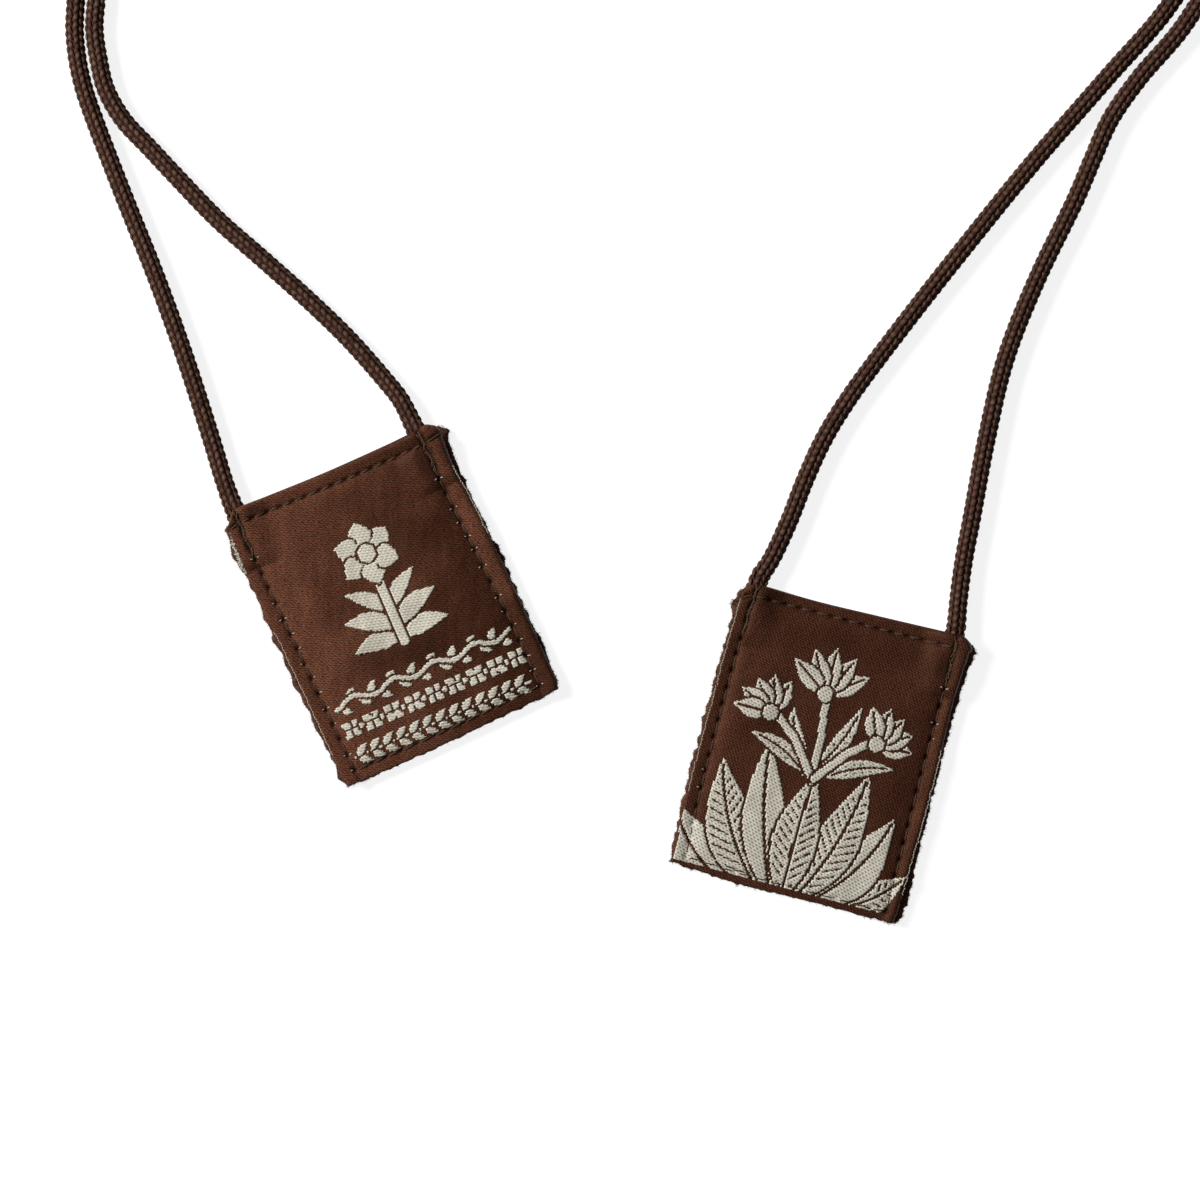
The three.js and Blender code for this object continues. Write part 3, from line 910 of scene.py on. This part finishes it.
def make_cord(name, left_tuck, route, right_tuck, material, nodes, seed):
    """One braided cord, from between the left panel's cloths to between the right panel's."""
    start = tucked_points(LEFT, left_tuck)
    finish = tucked_points(RIGHT, right_tuck)[::-1]
    heights = np.full(len(route), ROUTE_HEIGHTS[2])
    heights[:2] = ROUTE_HEIGHTS[:2]
    heights[-2:] = ROUTE_HEIGHTS[1::-1]
    middle = np.column_stack([route, heights])
    line, run = smooth_route([*start, *middle, *finish], BRAID_LEAD / STEPS_A_LEAD)
    line = line * MM
    along, across, out = directions(line)

    # The cord is pressed flat from a few millimetres outside each mouth to its end.
    tuck_length = math.dist(left_tuck[:2], left_tuck[2:])
    inward = np.maximum(tuck_length - run, run - run[-1] + tuck_length)
    section = eased(TUCK_SECTIONS, np.clip(inward / tuck_length, 0, 1)) / CORD_DIAMETER
    outside = np.clip(-inward / CORD_SQUASH_REACH, 0, 1)
    easing = outside * outside * (3 - 2 * outside)
    wide = section[:, 0] + (CORD_SPREAD - section[:, 0]) * easing
    tall = section[:, 1] + (1 - section[:, 1]) * easing

    parts = braid_yarns(line, run, across, out, wide, tall)
    # The core takes no rise, so it is painted the dark shade of the dips between the yarns.
    core = line[None, ::4]
    core_across, core_out = across[None, ::4] * wide[::4, None], out[None, ::4] * tall[::4, None]
    parts.append(tube_mesh(core, core_across, core_out, CORE_RADIUS * MM, CORE_RADIUS * MM, 10, 0.0))

    draw = np.random.default_rng(seed)
    station = draw.integers(20, len(line) - 20, CORD_HAIRS)
    angle = draw.uniform(-1.8, 1.8, CORD_HAIRS)[:, None]
    heading = np.cos(angle) * out[station] + np.sin(angle) * across[station]
    roots = line[station] + heading * CORD_HAIR_RING * MM
    lean = heading + along[station] * draw.normal(0, 0.8, CORD_HAIRS)[:, None]
    parts.append(fibre_mesh(roots, lean, CORD_HAIR_LENGTH, CORD_HAIR_RADIUS, seed))

    cord = add_piece(name, joined(parts), material)
    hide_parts(*nodes)


# The seams' needle holes

def spaced_holes(panel, seam, first, last, pitch, seed):
    """Needle holes along a seam, a little unevenly spaced."""
    count = max(1, round(abs(last - first) / pitch))
    run = np.linspace(first, last, count + 1)
    run[1:-1] += np.random.default_rng(seed).normal(0, 0.05 * pitch, count - 1)
    return seam_point(panel, seam, run)


def plan_seams(panel):
    """Sets out a panel's needle holes by seam, and every dip that the thread pulls."""
    seed = panel["seed"] * 100
    top_left, low_left = seam_point(panel, "left", [20.0, -19.6])[:, 0]
    top_right, low_right = seam_point(panel, "right", [20.0, -19.4])[:, 0]
    low = -19.9 if panel is LEFT else -19.4
    pitch = panel["side_pitch"]
    panel["seams"] = {
        "top": spaced_holes(panel, "top", top_left, top_right, panel["top_pitch"], seed),
        "left": spaced_holes(panel, "left", 21.6, low, pitch, seed + 1),
        "right": spaced_holes(panel, "right", 21.7, -19.5, pitch, seed + 2),
        "bottom": spaced_holes(panel, "bottom", low_left, low_right, pitch, seed + 3),
    }
    pits = []
    for seam, holes in panel["seams"].items():
        ways = unit(np.gradient(holes, axis=0))
        pits += [(*hole, *way, *PIT_SIZES[seam], 1.0) for hole, way in zip(holes, ways)]
    for from_x, from_y, to_x, to_y in panel["tacks"]:
        length = math.hypot(to_x - from_x, to_y - from_y)
        way = ((to_x - from_x) / length, (to_y - from_y) / length)
        pits.append(((from_x + to_x) / 2, (from_y + to_y) / 2, *way, length / 2, 0.45, 1.0))
    panel["pits"] = pits + panel["hollows"]


# The cloths

def runs_of_places(*runs):
    """Places along a grid from runs of (from, to, steps)."""
    parts = [np.linspace(low, high, steps, endpoint=False) for low, high, steps in runs]
    return np.concatenate(parts + [[runs[-1][1]]])


def rolled_places(radius, width, steps):
    """Places that follow a rolled edge evenly, as shares of the strip beside it."""
    return radius * (1 - np.cos(np.linspace(0, math.pi / 2, steps, endpoint=False))) / width


def cloth_grid(panel, end_roll, middle_steps):
    """Rows of points over a panel, close together at its rolled edges and its seams."""
    across = np.sort(np.concatenate([
        rolled_places(SIDE_ROLL, LEFT_STRIP, 5),
        runs_of_places(
            (SIDE_ROLL / LEFT_STRIP, 1, 7), (1, 1.06, 10), (1.06, 1.94, middle_steps), (1.94, 2, 10),
        ),
        runs_of_places((2.07, 3 - SIDE_ROLL / RIGHT_STRIP, 9)),
        3 - rolled_places(SIDE_ROLL, RIGHT_STRIP, 5)[::-1],
    ]))
    down = np.concatenate([
        rolled_places(end_roll, TOP_STRIP, 6),
        runs_of_places((end_roll / TOP_STRIP, 1, 8), (1, 2, 168), (2, 3, 9)),
    ])
    across, down = np.meshgrid(across, down[::-1])
    side = eased(panel["sides"], down)
    end = eased(panel["ends"], across)
    return across, down, side, end


def outward_normals(points):
    """The upward unit vector of a face at each of its rows of points."""
    by_row, by_column = np.gradient(points, axis=0), np.gradient(points, axis=1)
    return unit(np.cross(by_column, by_row))


def make_label(name, panel, material, node):
    """The woven front: a thin cloth with its top folded in, its right strip puffed and its sides cut."""
    across, down, side, end = cloth_grid(panel, TOP_ROLL, 82)
    x = between(side[..., :4], across)
    y = between(end[..., :4], down)
    ragged = unevenness(panel["seed"] + 2, 0.8, 3.5)
    frayed_left = 0.1 * ragged(x * 0, y) * np.clip(1 - across * 3, 0, 1)
    frayed_right = 0.08 * ragged(x * 0 + 9, y) * np.clip(across * 3 - 8, 0, 1)
    x = x - frayed_left + frayed_right
    y = y - 0.12 * ragged(x, y * 0) * np.clip(down * 3 - 8, 0, 1)
    top = label_top(panel, x, y, across, down)
    top = top - np.maximum.reduce([
        rolled(end[..., 0] - y, TOP_ROLL),
        rolled(side[..., 3] - x, RIGHT_ROLL),
        rolled(x - side[..., 0], CUT_ROLL),
        rolled(y - end[..., 3], CUT_ROLL),
    ])
    upper = np.stack([x, y, top], -1)
    lower = upper - LABEL_THICKNESS * outward_normals(upper)
    # Painted shade: the dips at the stitches are painted darker by this much.
    pit_shade = needle_pits(panel, x, y)
    mesh = cloth_mesh(laid(panel, upper), laid(panel, lower), np.stack([x, y], -1), pit_shade)
    label = add_piece(name, mesh, material)
    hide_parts(node)


def wool_hairs(panel, upper):
    """Loose wool round the cut edges of a felt, and in a few tufts."""
    draw = np.random.default_rng(panel["seed"] + 7)
    rows, columns = upper.shape[:2]
    border = np.concatenate([upper[:, 0], upper[0], upper[:, -1]])
    away = np.repeat([(-1.0, 0, 0), (0, -1.0, 0), (1.0, 0, 0)], (rows, columns, rows), axis=0)
    pick = draw.integers(0, len(border), HAIRS)
    roots = border[pick] - 0.15 * away[pick]
    roots[:, 2] += draw.uniform(-0.4, 0.3, HAIRS)
    heads = away[pick] + draw.normal(0, 0.5, (HAIRS, 3)) * (0.6, 0.9, 0.35)
    for tuft_x, tuft_y, spread, hairs in panel["tufts"]:
        near = draw.normal(0, spread, (hairs, 3)) * (0.6, 1, 0.4)
        outwards = np.array([tuft_x / 17.0, tuft_y / 21.0, 0])
        outwards[np.argmin(np.abs(outwards[:2]))] *= 0.2
        roots = np.vstack([roots, near + (tuft_x, tuft_y, 0.8)])
        heads = np.vstack([heads, draw.normal(0, 0.6, (hairs, 3)) + 1.6 * outwards])
    roots, heads = laid(panel, roots), laid_heading(panel, heads)
    return fibre_mesh(roots, heads, HAIR_LENGTH, HAIR_RADIUS, panel["seed"] + 8)


def make_felt(name, panel, material, node):
    """The felted back, which shows past the label with a soft uneven edge."""
    across, down, side, end = cloth_grid(panel, FELT_ROLL, 26)
    x = between(side[..., :4], across)
    y = between(end[..., :4], down)
    for sign, strip, past, shift in ((-1, 1 - across, side[..., 4], 3), (1, across - 2, side[..., 5], 4)):
        bulge = EDGE_WAVE * unevenness(panel["seed"] + shift, 0.7, 3)(0 * y, y)
        for bulge_sign, at, far, half in panel["bulges"]:
            if bulge_sign == sign:
                bulge += far * bell(y - at, half)
        x = x + sign * (past + bulge) * np.clip(strip, 0, 1)
    y = y - 0.2 * np.clip(1 - down, 0, 1)
    low_rim = panel["low_rim"] + EDGE_WAVE * unevenness(panel["seed"] + 5, 0.7, 3)(x, 0 * x)
    y = y - low_rim * np.clip(down - 2, 0, 1)
    inside = (across > 1) & (across < 2)
    crown = BACK_CROWN * np.where(inside, drape_over(panel, across, down, x, y), 0)
    top = CLOTH + crown + FELT_WAVE * unevenness(panel["seed"] + 6, 0.6, 3)(x, y)
    edge = np.minimum.reduce([x - x[:, :1], x[:, -1:] - x, y - y[:1], y[-1:] - y])
    upper = np.stack([x, y, top - rolled(edge, FELT_ROLL)], -1)
    # The underside is cut a little smaller, so that the edge slopes in.
    inset = UNDERCUT * np.clip(1 - edge / 0.4, 0, 1)
    middle_x, middle_y = x.mean(), y.mean()
    lower_x = x - inset * np.sign(x - middle_x) * (np.abs(x - middle_x) > 14)
    lower_y = y - inset * np.sign(y - middle_y) * (np.abs(y - middle_y) > 18)
    lower = np.stack([lower_x, lower_y, 0 * top], -1)
    mesh = cloth_mesh(laid(panel, upper), laid(panel, lower), np.stack([x, y], -1))
    felt = add_piece(name, joined([mesh, wool_hairs(panel, upper)]), material)
    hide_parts(node)


# The sewing

def threads_at(panel, plan, height, half_width, half_thickness, sides):
    """Thin tubes along lines of places on the panel, at a height for each place."""
    centre = laid(panel, np.concatenate([plan, height[..., None]], -1))
    _, across, out = directions(centre)
    return tube_mesh(centre, across, out, half_width * MM, half_thickness * MM, sides)


def thread_between(panel, starts, ends, radius, arch, sink, sideways=0.0):
    """Stitches as short arched threads that go down into the cloth at both ends."""
    share = np.linspace(0, 1, 9)[None, :, None]
    plan = starts[:, None] + (ends - starts)[:, None] * share
    run = ends - starts
    normal = unit(np.stack([-run[:, 1], run[:, 0]], -1))
    plan = plan + sideways * (share - 0.5) * 2 * normal[:, None]
    t = share[..., 0]
    dives = bell(t, 0.13) + bell(1 - t, 0.13)
    height = label_top(panel, plan[..., 0], plan[..., 1]) + arch * np.sin(np.pi * t) - sink * dives
    return threads_at(panel, plan, height, radius, 0.85 * radius, 6)


def make_sewing(name, panel, material):
    """One round of lockstitch, gone over again at the top corners."""
    parts = []
    for seam, holes in panel["seams"].items():
        run = unit(np.diff(holes, axis=0))
        short, radius = (0.32, TOP_THREAD) if seam == "top" else (0.22, THREAD)
        slant = 0.09 if seam in ("top", "bottom") else 0.05
        starts, ends = holes[:-1] + short * run, holes[1:] - short * run
        parts.append(thread_between(panel, starts, ends, radius, 0.08, 0.22, slant))
    tacks = np.array(panel["tacks"])
    parts.append(thread_between(panel, tacks[:, :2], tacks[:, 2:], THREAD, 0.12, 0.25))
    draw = np.random.default_rng(panel["seed"] + 9)
    for seam, shift in (("left", 0.3), ("right", -0.3)):
        run = np.linspace(21.6, 14.6, 6) + draw.normal(0, 0.15, 6)
        tack = seam_point(panel, seam, run)
        tack[:, 0] += shift * np.array([1.3, -1.1, 1.2, -1, 0.9, -0.6])
        parts.append(thread_between(panel, tack[:-1], tack[1:], THREAD, 0.16, 0.2))
    add_piece(name, joined(parts), material)


# The woven design: cream floats over the brown ground, as small cells of the label's own surface.

def leaf(x, y, base, tip, width, bend):
    """How far outside a pointed leaf each place is (below 0 inside), how far off its midrib and along it."""
    run_x, run_y = tip[0] - base[0], tip[1] - base[1]
    length = math.hypot(run_x, run_y)
    along, aside = along_and_aside(x, y, *base, run_x, run_y)
    along, aside = along / length ** 2, aside / length
    t = np.clip(along, 0, 1)
    off_rib = np.abs(aside - 4 * bend * t * (1 - t))
    past = np.maximum(0, np.abs(along - 0.5) - 0.5) * length
    beyond = off_rib - width / 2 * np.sin(math.pi * t ** 0.85)
    return np.hypot(np.maximum(beyond, 0), past) + np.minimum(beyond, 0), off_rib, along * length


def stalk(x, y, points, width):
    """How far outside a round-ended stroke through the points each place is."""
    nearest = np.full(x.shape, np.inf)
    for start, end in zip(points[:-1], points[1:]):
        nearest = np.minimum(nearest, off_line(x, y, *start, *end))
    return nearest - width / 2


def flower(middle, petals, reach, width, turn=0.0, spread=360.0, inner=0.8, rib=0.16):
    """Petals round a middle, or in a fan, as leaves."""
    steps = petals if spread == 360 else petals - 1
    made = []
    for i in range(petals):
        angle = math.radians(turn + spread * i / steps)
        heading = (math.cos(angle), math.sin(angle))
        base = (middle[0] + inner * heading[0], middle[1] + inner * heading[1])
        tip = (middle[0] + reach * heading[0], middle[1] + reach * heading[1])
        made.append(("leaf", base, tip, width, 0.0, rib, 0))
    return made


def left_design():
    """A rosette on a leafy stem, and three bands of vine, blossom and laurel."""
    shapes = []
    for sign in (-1, 1):
        for base_y, tip_y, reach, width, bend in (
            (-5.0, -4.6, 7.6, 2.7, 0.7), (-3.2, 0.0, 7.4, 2.8, 0.7), (-0.6, 4.0, 5.6, 2.3, 0.5),
        ):
            shapes.append(("leaf", (-1, base_y), (-1 + sign * reach, tip_y), width, sign * bend, 0, 0))
    shapes.append(("stalk", [(-1, 4.2), (-1, -5.6)], 1.4))
    shapes += flower((-1, 8.4), 6, 4.9, 3.5, 30, inner=0.9, rib=0)
    shapes.append(("disc", (-1, 8.4), 1.35))
    middle = -10.5
    for i, x in enumerate(np.arange(-13.6, 12.9, 1.6)):
        start = middle + 0.55 * math.sin(x * math.pi / 3.2)
        up = 1 if i % 2 else -1
        shapes.append(("leaf", (x, start), (x + 1.5, middle + 1.6 * up), 1.15, 0.15 * up, 0, 0))
    runs = np.arange(-14.2, 13.9, 0.8)
    shapes.append(("stalk", [(x, middle + 0.55 * math.sin(x * math.pi / 3.2)) for x in runs], 0.66))
    for x in np.arange(-13.2, 13.4, 3.3):
        shapes += flower((x, -14.4), 4, 1.75, 1.25, 45.0, inner=0.1, rib=0)
        shapes.append(("disc", (x + 1.65, -14.4), 0.48))
    shapes.append(("stalk", [(-14.2, -18.4), (13.4, -18.4)], 0.5))
    for x in np.arange(-14.0, 12.4, 2.1):
        for up in (-1, 1):
            shapes.append(("leaf", (x, -18.4), (x + 1.9, -18.4 + 1.35 * up), 1.05, 0.15 * up, 0, 0))
    return shapes


def right_design():
    """A tall bunch of lilies that stands in broad veined leaves along the lower edge."""
    shapes = []
    for base, tip, width, bend, veins in (
        ((-6, -22.4), (-18.6, -11.8), 7.6, 2.0, 0), ((5, -22), (17.0, -14.0), 5.6, -1.5, 1.3),
        ((-3, -22), (-13.4, -3.8), 7.4, 1.7, 1.5), ((3, -22), (13.2, -6.2), 6.8, -1.7, 0),
        ((-1.5, -22), (-7.4, 0.6), 6.4, 1.0, 0), ((1.5, -22), (8.0, -0.8), 6.6, -1.2, 1.4),
        ((0, -22), (0.4, -2.6), 6.6, 0.4, 1.3),
    ):
        shapes.append(("leaf", base, tip, width, bend, 0.2, veins))
    for base, tip, width, bend in (
        ((-0.6, -4), (-5.4, 6.2), 2.6, 0.7), ((0.2, -2), (4.4, 8.4), 2.4, -0.6),
        ((-1.6, -3), (-10.6, 0.8), 2.5, -0.8), ((1.8, -3), (11.4, 0.6), 2.5, 0.8),
    ):
        shapes.append(("leaf", base, tip, width, bend, 0.16, 1.2))
    for points in (
        [(0, -4), (-0.4, 3), (-1.2, 9.4)],
        [(-0.2, -3.6), (-4.0, 1.4), (-8.0, 4.6)],
        [(0.2, -3.6), (4.0, 1.2), (7.4, 4.0)],
    ):
        shapes.append(("stalk", points, 1.1))
    for middle, turn, reach in (((-1.3, 8.8), 35, 7.0), ((-8.4, 4.2), 70, 5.6), ((7.8, 3.6), 0, 5.6)):
        shapes += flower(middle, 5, reach, 2.9, turn, 110, inner=0.2)
        shapes.append(("disc", middle, 1.15))
    return shapes


def design_cells(shapes, x, y):
    """Which cells of the label are cream: each shape stands in a narrow brown outline."""
    cream = np.zeros(x.shape, bool)
    for kind, *sizes in shapes:
        lines = np.zeros(x.shape, bool)
        if kind == "disc":
            middle, radius = sizes
            outside = np.hypot(x - middle[0], y - middle[1]) - radius
        elif kind == "stalk":
            outside = stalk(x, y, *sizes)
        else:
            *form, rib, veins = sizes
            outside, off_rib, along = leaf(x, y, *form)
            lines = (outside < -0.35) & (off_rib < rib)
            if veins:
                lines |= (outside < -0.45) & (off_rib > rib + 0.35) & ((along - 0.9 * off_rib) % veins < 0.3)
        cream &= outside > OUTLINE
        cream |= (outside < 0) & ~lines
    return cream


def make_design(name, panel, shapes, material, x_range, y_range):
    """A woven design as thin raised cells on the label."""
    columns = round((x_range[1] - x_range[0]) / CELL_WIDE)
    rows = round((y_range[1] - y_range[0]) / CELL_TALL)
    cell_x = x_range[0] + CELL_WIDE * (np.arange(columns) + 0.5)
    cell_y = y_range[0] + CELL_TALL * (np.arange(rows) + 0.5)
    middle_x, middle_y = np.meshgrid(cell_x, cell_y)
    keep = design_cells(shapes, middle_x, middle_y)
    across, down = across_and_down(panel, middle_x, middle_y)
    keep &= (across > 0.1) & (across < 2.9) & (down < 2.9)
    mesh, column, row, layer = grid_mesh(columns, rows, thick=True, keep=keep)
    x = x_range[0] + CELL_WIDE * column
    y = y_range[0] + CELL_TALL * row
    z = label_top(panel, x.astype(float), y.astype(float)) + np.where(layer == 0, CELL_RISE, -CELL_SINK)
    place_mesh(mesh, laid(panel, np.stack([x, y, z], -1)), np.stack([x, y], -1))
    add_piece(name, mesh, material)


# Cut yarn ends of the design, which show at the seams and the cut edges.

def make_loose_weft(name, panel, material, share_shown, edge_runs):
    """Short cream ends beside a share of the side seams' needle holes, and along runs of the cut edges."""
    draw = np.random.default_rng(panel["seed"] + 10)
    share = np.linspace(-1, 1, 4)[None, :, None]
    parts = []
    for seam in ("left", "right"):
        for shift in (-0.42, 0.42):
            holes = panel["seams"][seam]
            holes = holes[(holes[:, 1] < 15) & (draw.random(len(holes)) < share_shown)]
            if not len(holes):
                continue
            centres = holes + (shift, 0.05) + draw.normal(0, 0.08, holes.shape)
            half = np.stack([draw.uniform(0.09, 0.2, len(holes)), draw.normal(0, 0.05, len(holes))], -1)
            plan = centres[:, None] + half[:, None] * share
            height = label_top(panel, plan[..., 0], plan[..., 1]) + 0.05
            parts.append(threads_at(panel, plan, height, *HOLE_END, 5))
    for side, first, last, inset, pitch in edge_runs:
        y = np.arange(first, last, -pitch)
        edge = eased(panel["sides"], down_at(panel, 1 if side < 0 else 2, y))[..., 0 if side < 0 else 3]
        x = edge - side * inset + draw.normal(0, 0.05, len(y))
        half = np.stack([draw.normal(0, 0.04, len(y)), np.full(len(y), 0.42 * pitch)], -1)
        plan = np.stack([x, y], -1)[:, None] + half[:, None] * share
        drop = rolled(np.full(plan.shape[:2], inset), CUT_ROLL)
        height = label_top(panel, plan[..., 0], plan[..., 1]) - drop + 0.06
        parts.append(threads_at(panel, plan, height, *EDGE_END, 5))
    add_piece(name, joined(parts), material)


def make_fringe(name, panel, material, first, last, count):
    """Cut cream yarn ends that stand out from the label's left edge."""
    draw = np.random.default_rng(panel["seed"] + 13)
    y = draw.uniform(last, first, count)
    x = eased(panel["sides"], down_at(panel, 1, y))[..., 0] + draw.uniform(-0.05, 0.15, count)
    z = label_top(panel, x, y) - draw.uniform(0.0, 0.3, count)
    heads = [draw.uniform(-1.2, -0.3, count), draw.normal(0, 0.7, count), draw.normal(0, 0.25, count)]
    roots, heads = laid(panel, np.stack([x, y, z], -1)), laid_heading(panel, np.stack(heads, -1))
    fringe = fibre_mesh(roots, heads, FRINGE_LENGTH, FRINGE_RADIUS, panel["seed"] + 12)
    add_piece(name, fringe, material)


set_up_studio()
braid = braid_material()
make_cord(
    "outer_cord", LEFT["tucks"][0], OUTER_ROUTE, RIGHT["tucks"][1], braid,
    ("cord_outer", "outer_end_left", "outer_end_right"), 5,
)
make_cord(
    "inner_cord", LEFT["tucks"][1], INNER_ROUTE, RIGHT["tucks"][0], braid,
    ("cord_inner", "inner_end_left", "inner_end_right"), 6,
)
felt = felt_material()
fine_cream = cream_weft_material("close_cream_weft", "#85705f")
open_cream = cream_weft_material("open_cream_weft", "#5d3b34")
thread = thread_material("olive_brown_sewing_thread", "#271b12", "#523e2d")
loose_cream = thread_material("loose_cream_weft", "#7d7668", "#b0a999")
cut_cream = thread_material("cut_cream_weft_ends", "#aaa394", "#d6d0c3")
for panel in (LEFT, RIGHT):
    plan_seams(panel)
make_felt("left_felt", LEFT, felt, "left_back")
make_felt("right_felt", RIGHT, felt, "right_back")
# The two labels are one satin; the right one's colours are painted darker, as its sheen lies at another
# angle.
left_satin = satin_label_material(
    "brown_satin_left", dark="#28140f", light="#694230", shaded="#aca6a2", row_mm=0.38, row_weight=0.21,
    slant=0.5, sheen_slope=1.0, strip_from=13.2, shade_band_at=-7.6, shade_band_depth=14.0,
)
make_label("left_label", LEFT, left_satin, "left_front")
right_satin = satin_label_material(
    "brown_satin_right", dark="#210f0b", light="#573526", shaded="#ccc7c4", row_mm=0.37, row_weight=0.3,
    slant=0.27, sheen_slope=0.2, strip_from=16.0, shade_band_at=17.0, shade_band_depth=6.0,
)
make_label("right_label", RIGHT, right_satin, "right_front")
make_sewing("left_sewing", LEFT, thread)
make_sewing("right_sewing", RIGHT, thread)
make_design("left_woven_design", LEFT, left_design(), fine_cream, (-15.4, 14.28), (-20.0, 13.6))
make_design("right_woven_design", RIGHT, right_design(), open_cream, (-17.08, 17.08), (-20.2, 17.0))
# runs of cut edge: side (-1 left, 1 right), from y, to y, how far in, pitch
make_loose_weft(
    "left_loose_weft", LEFT, loose_cream, 0.6,
    [(-1, 3.0, -17.0, 0.05, 0.4), (-1, 19.0, 14.5, 0.0, 0.5), (1, 15.0, 4.0, 0.05, 0.4)],
)
make_fringe("left_fringe", LEFT, cut_cream, 18.0, 12.6, 130)
make_loose_weft(
    "right_loose_weft", RIGHT, loose_cream, 0.15,
    [(-1, 19.0, -10.0, 0.05, 0.4), (1, 5.0, -17.0, 0.1, 0.4)],
)
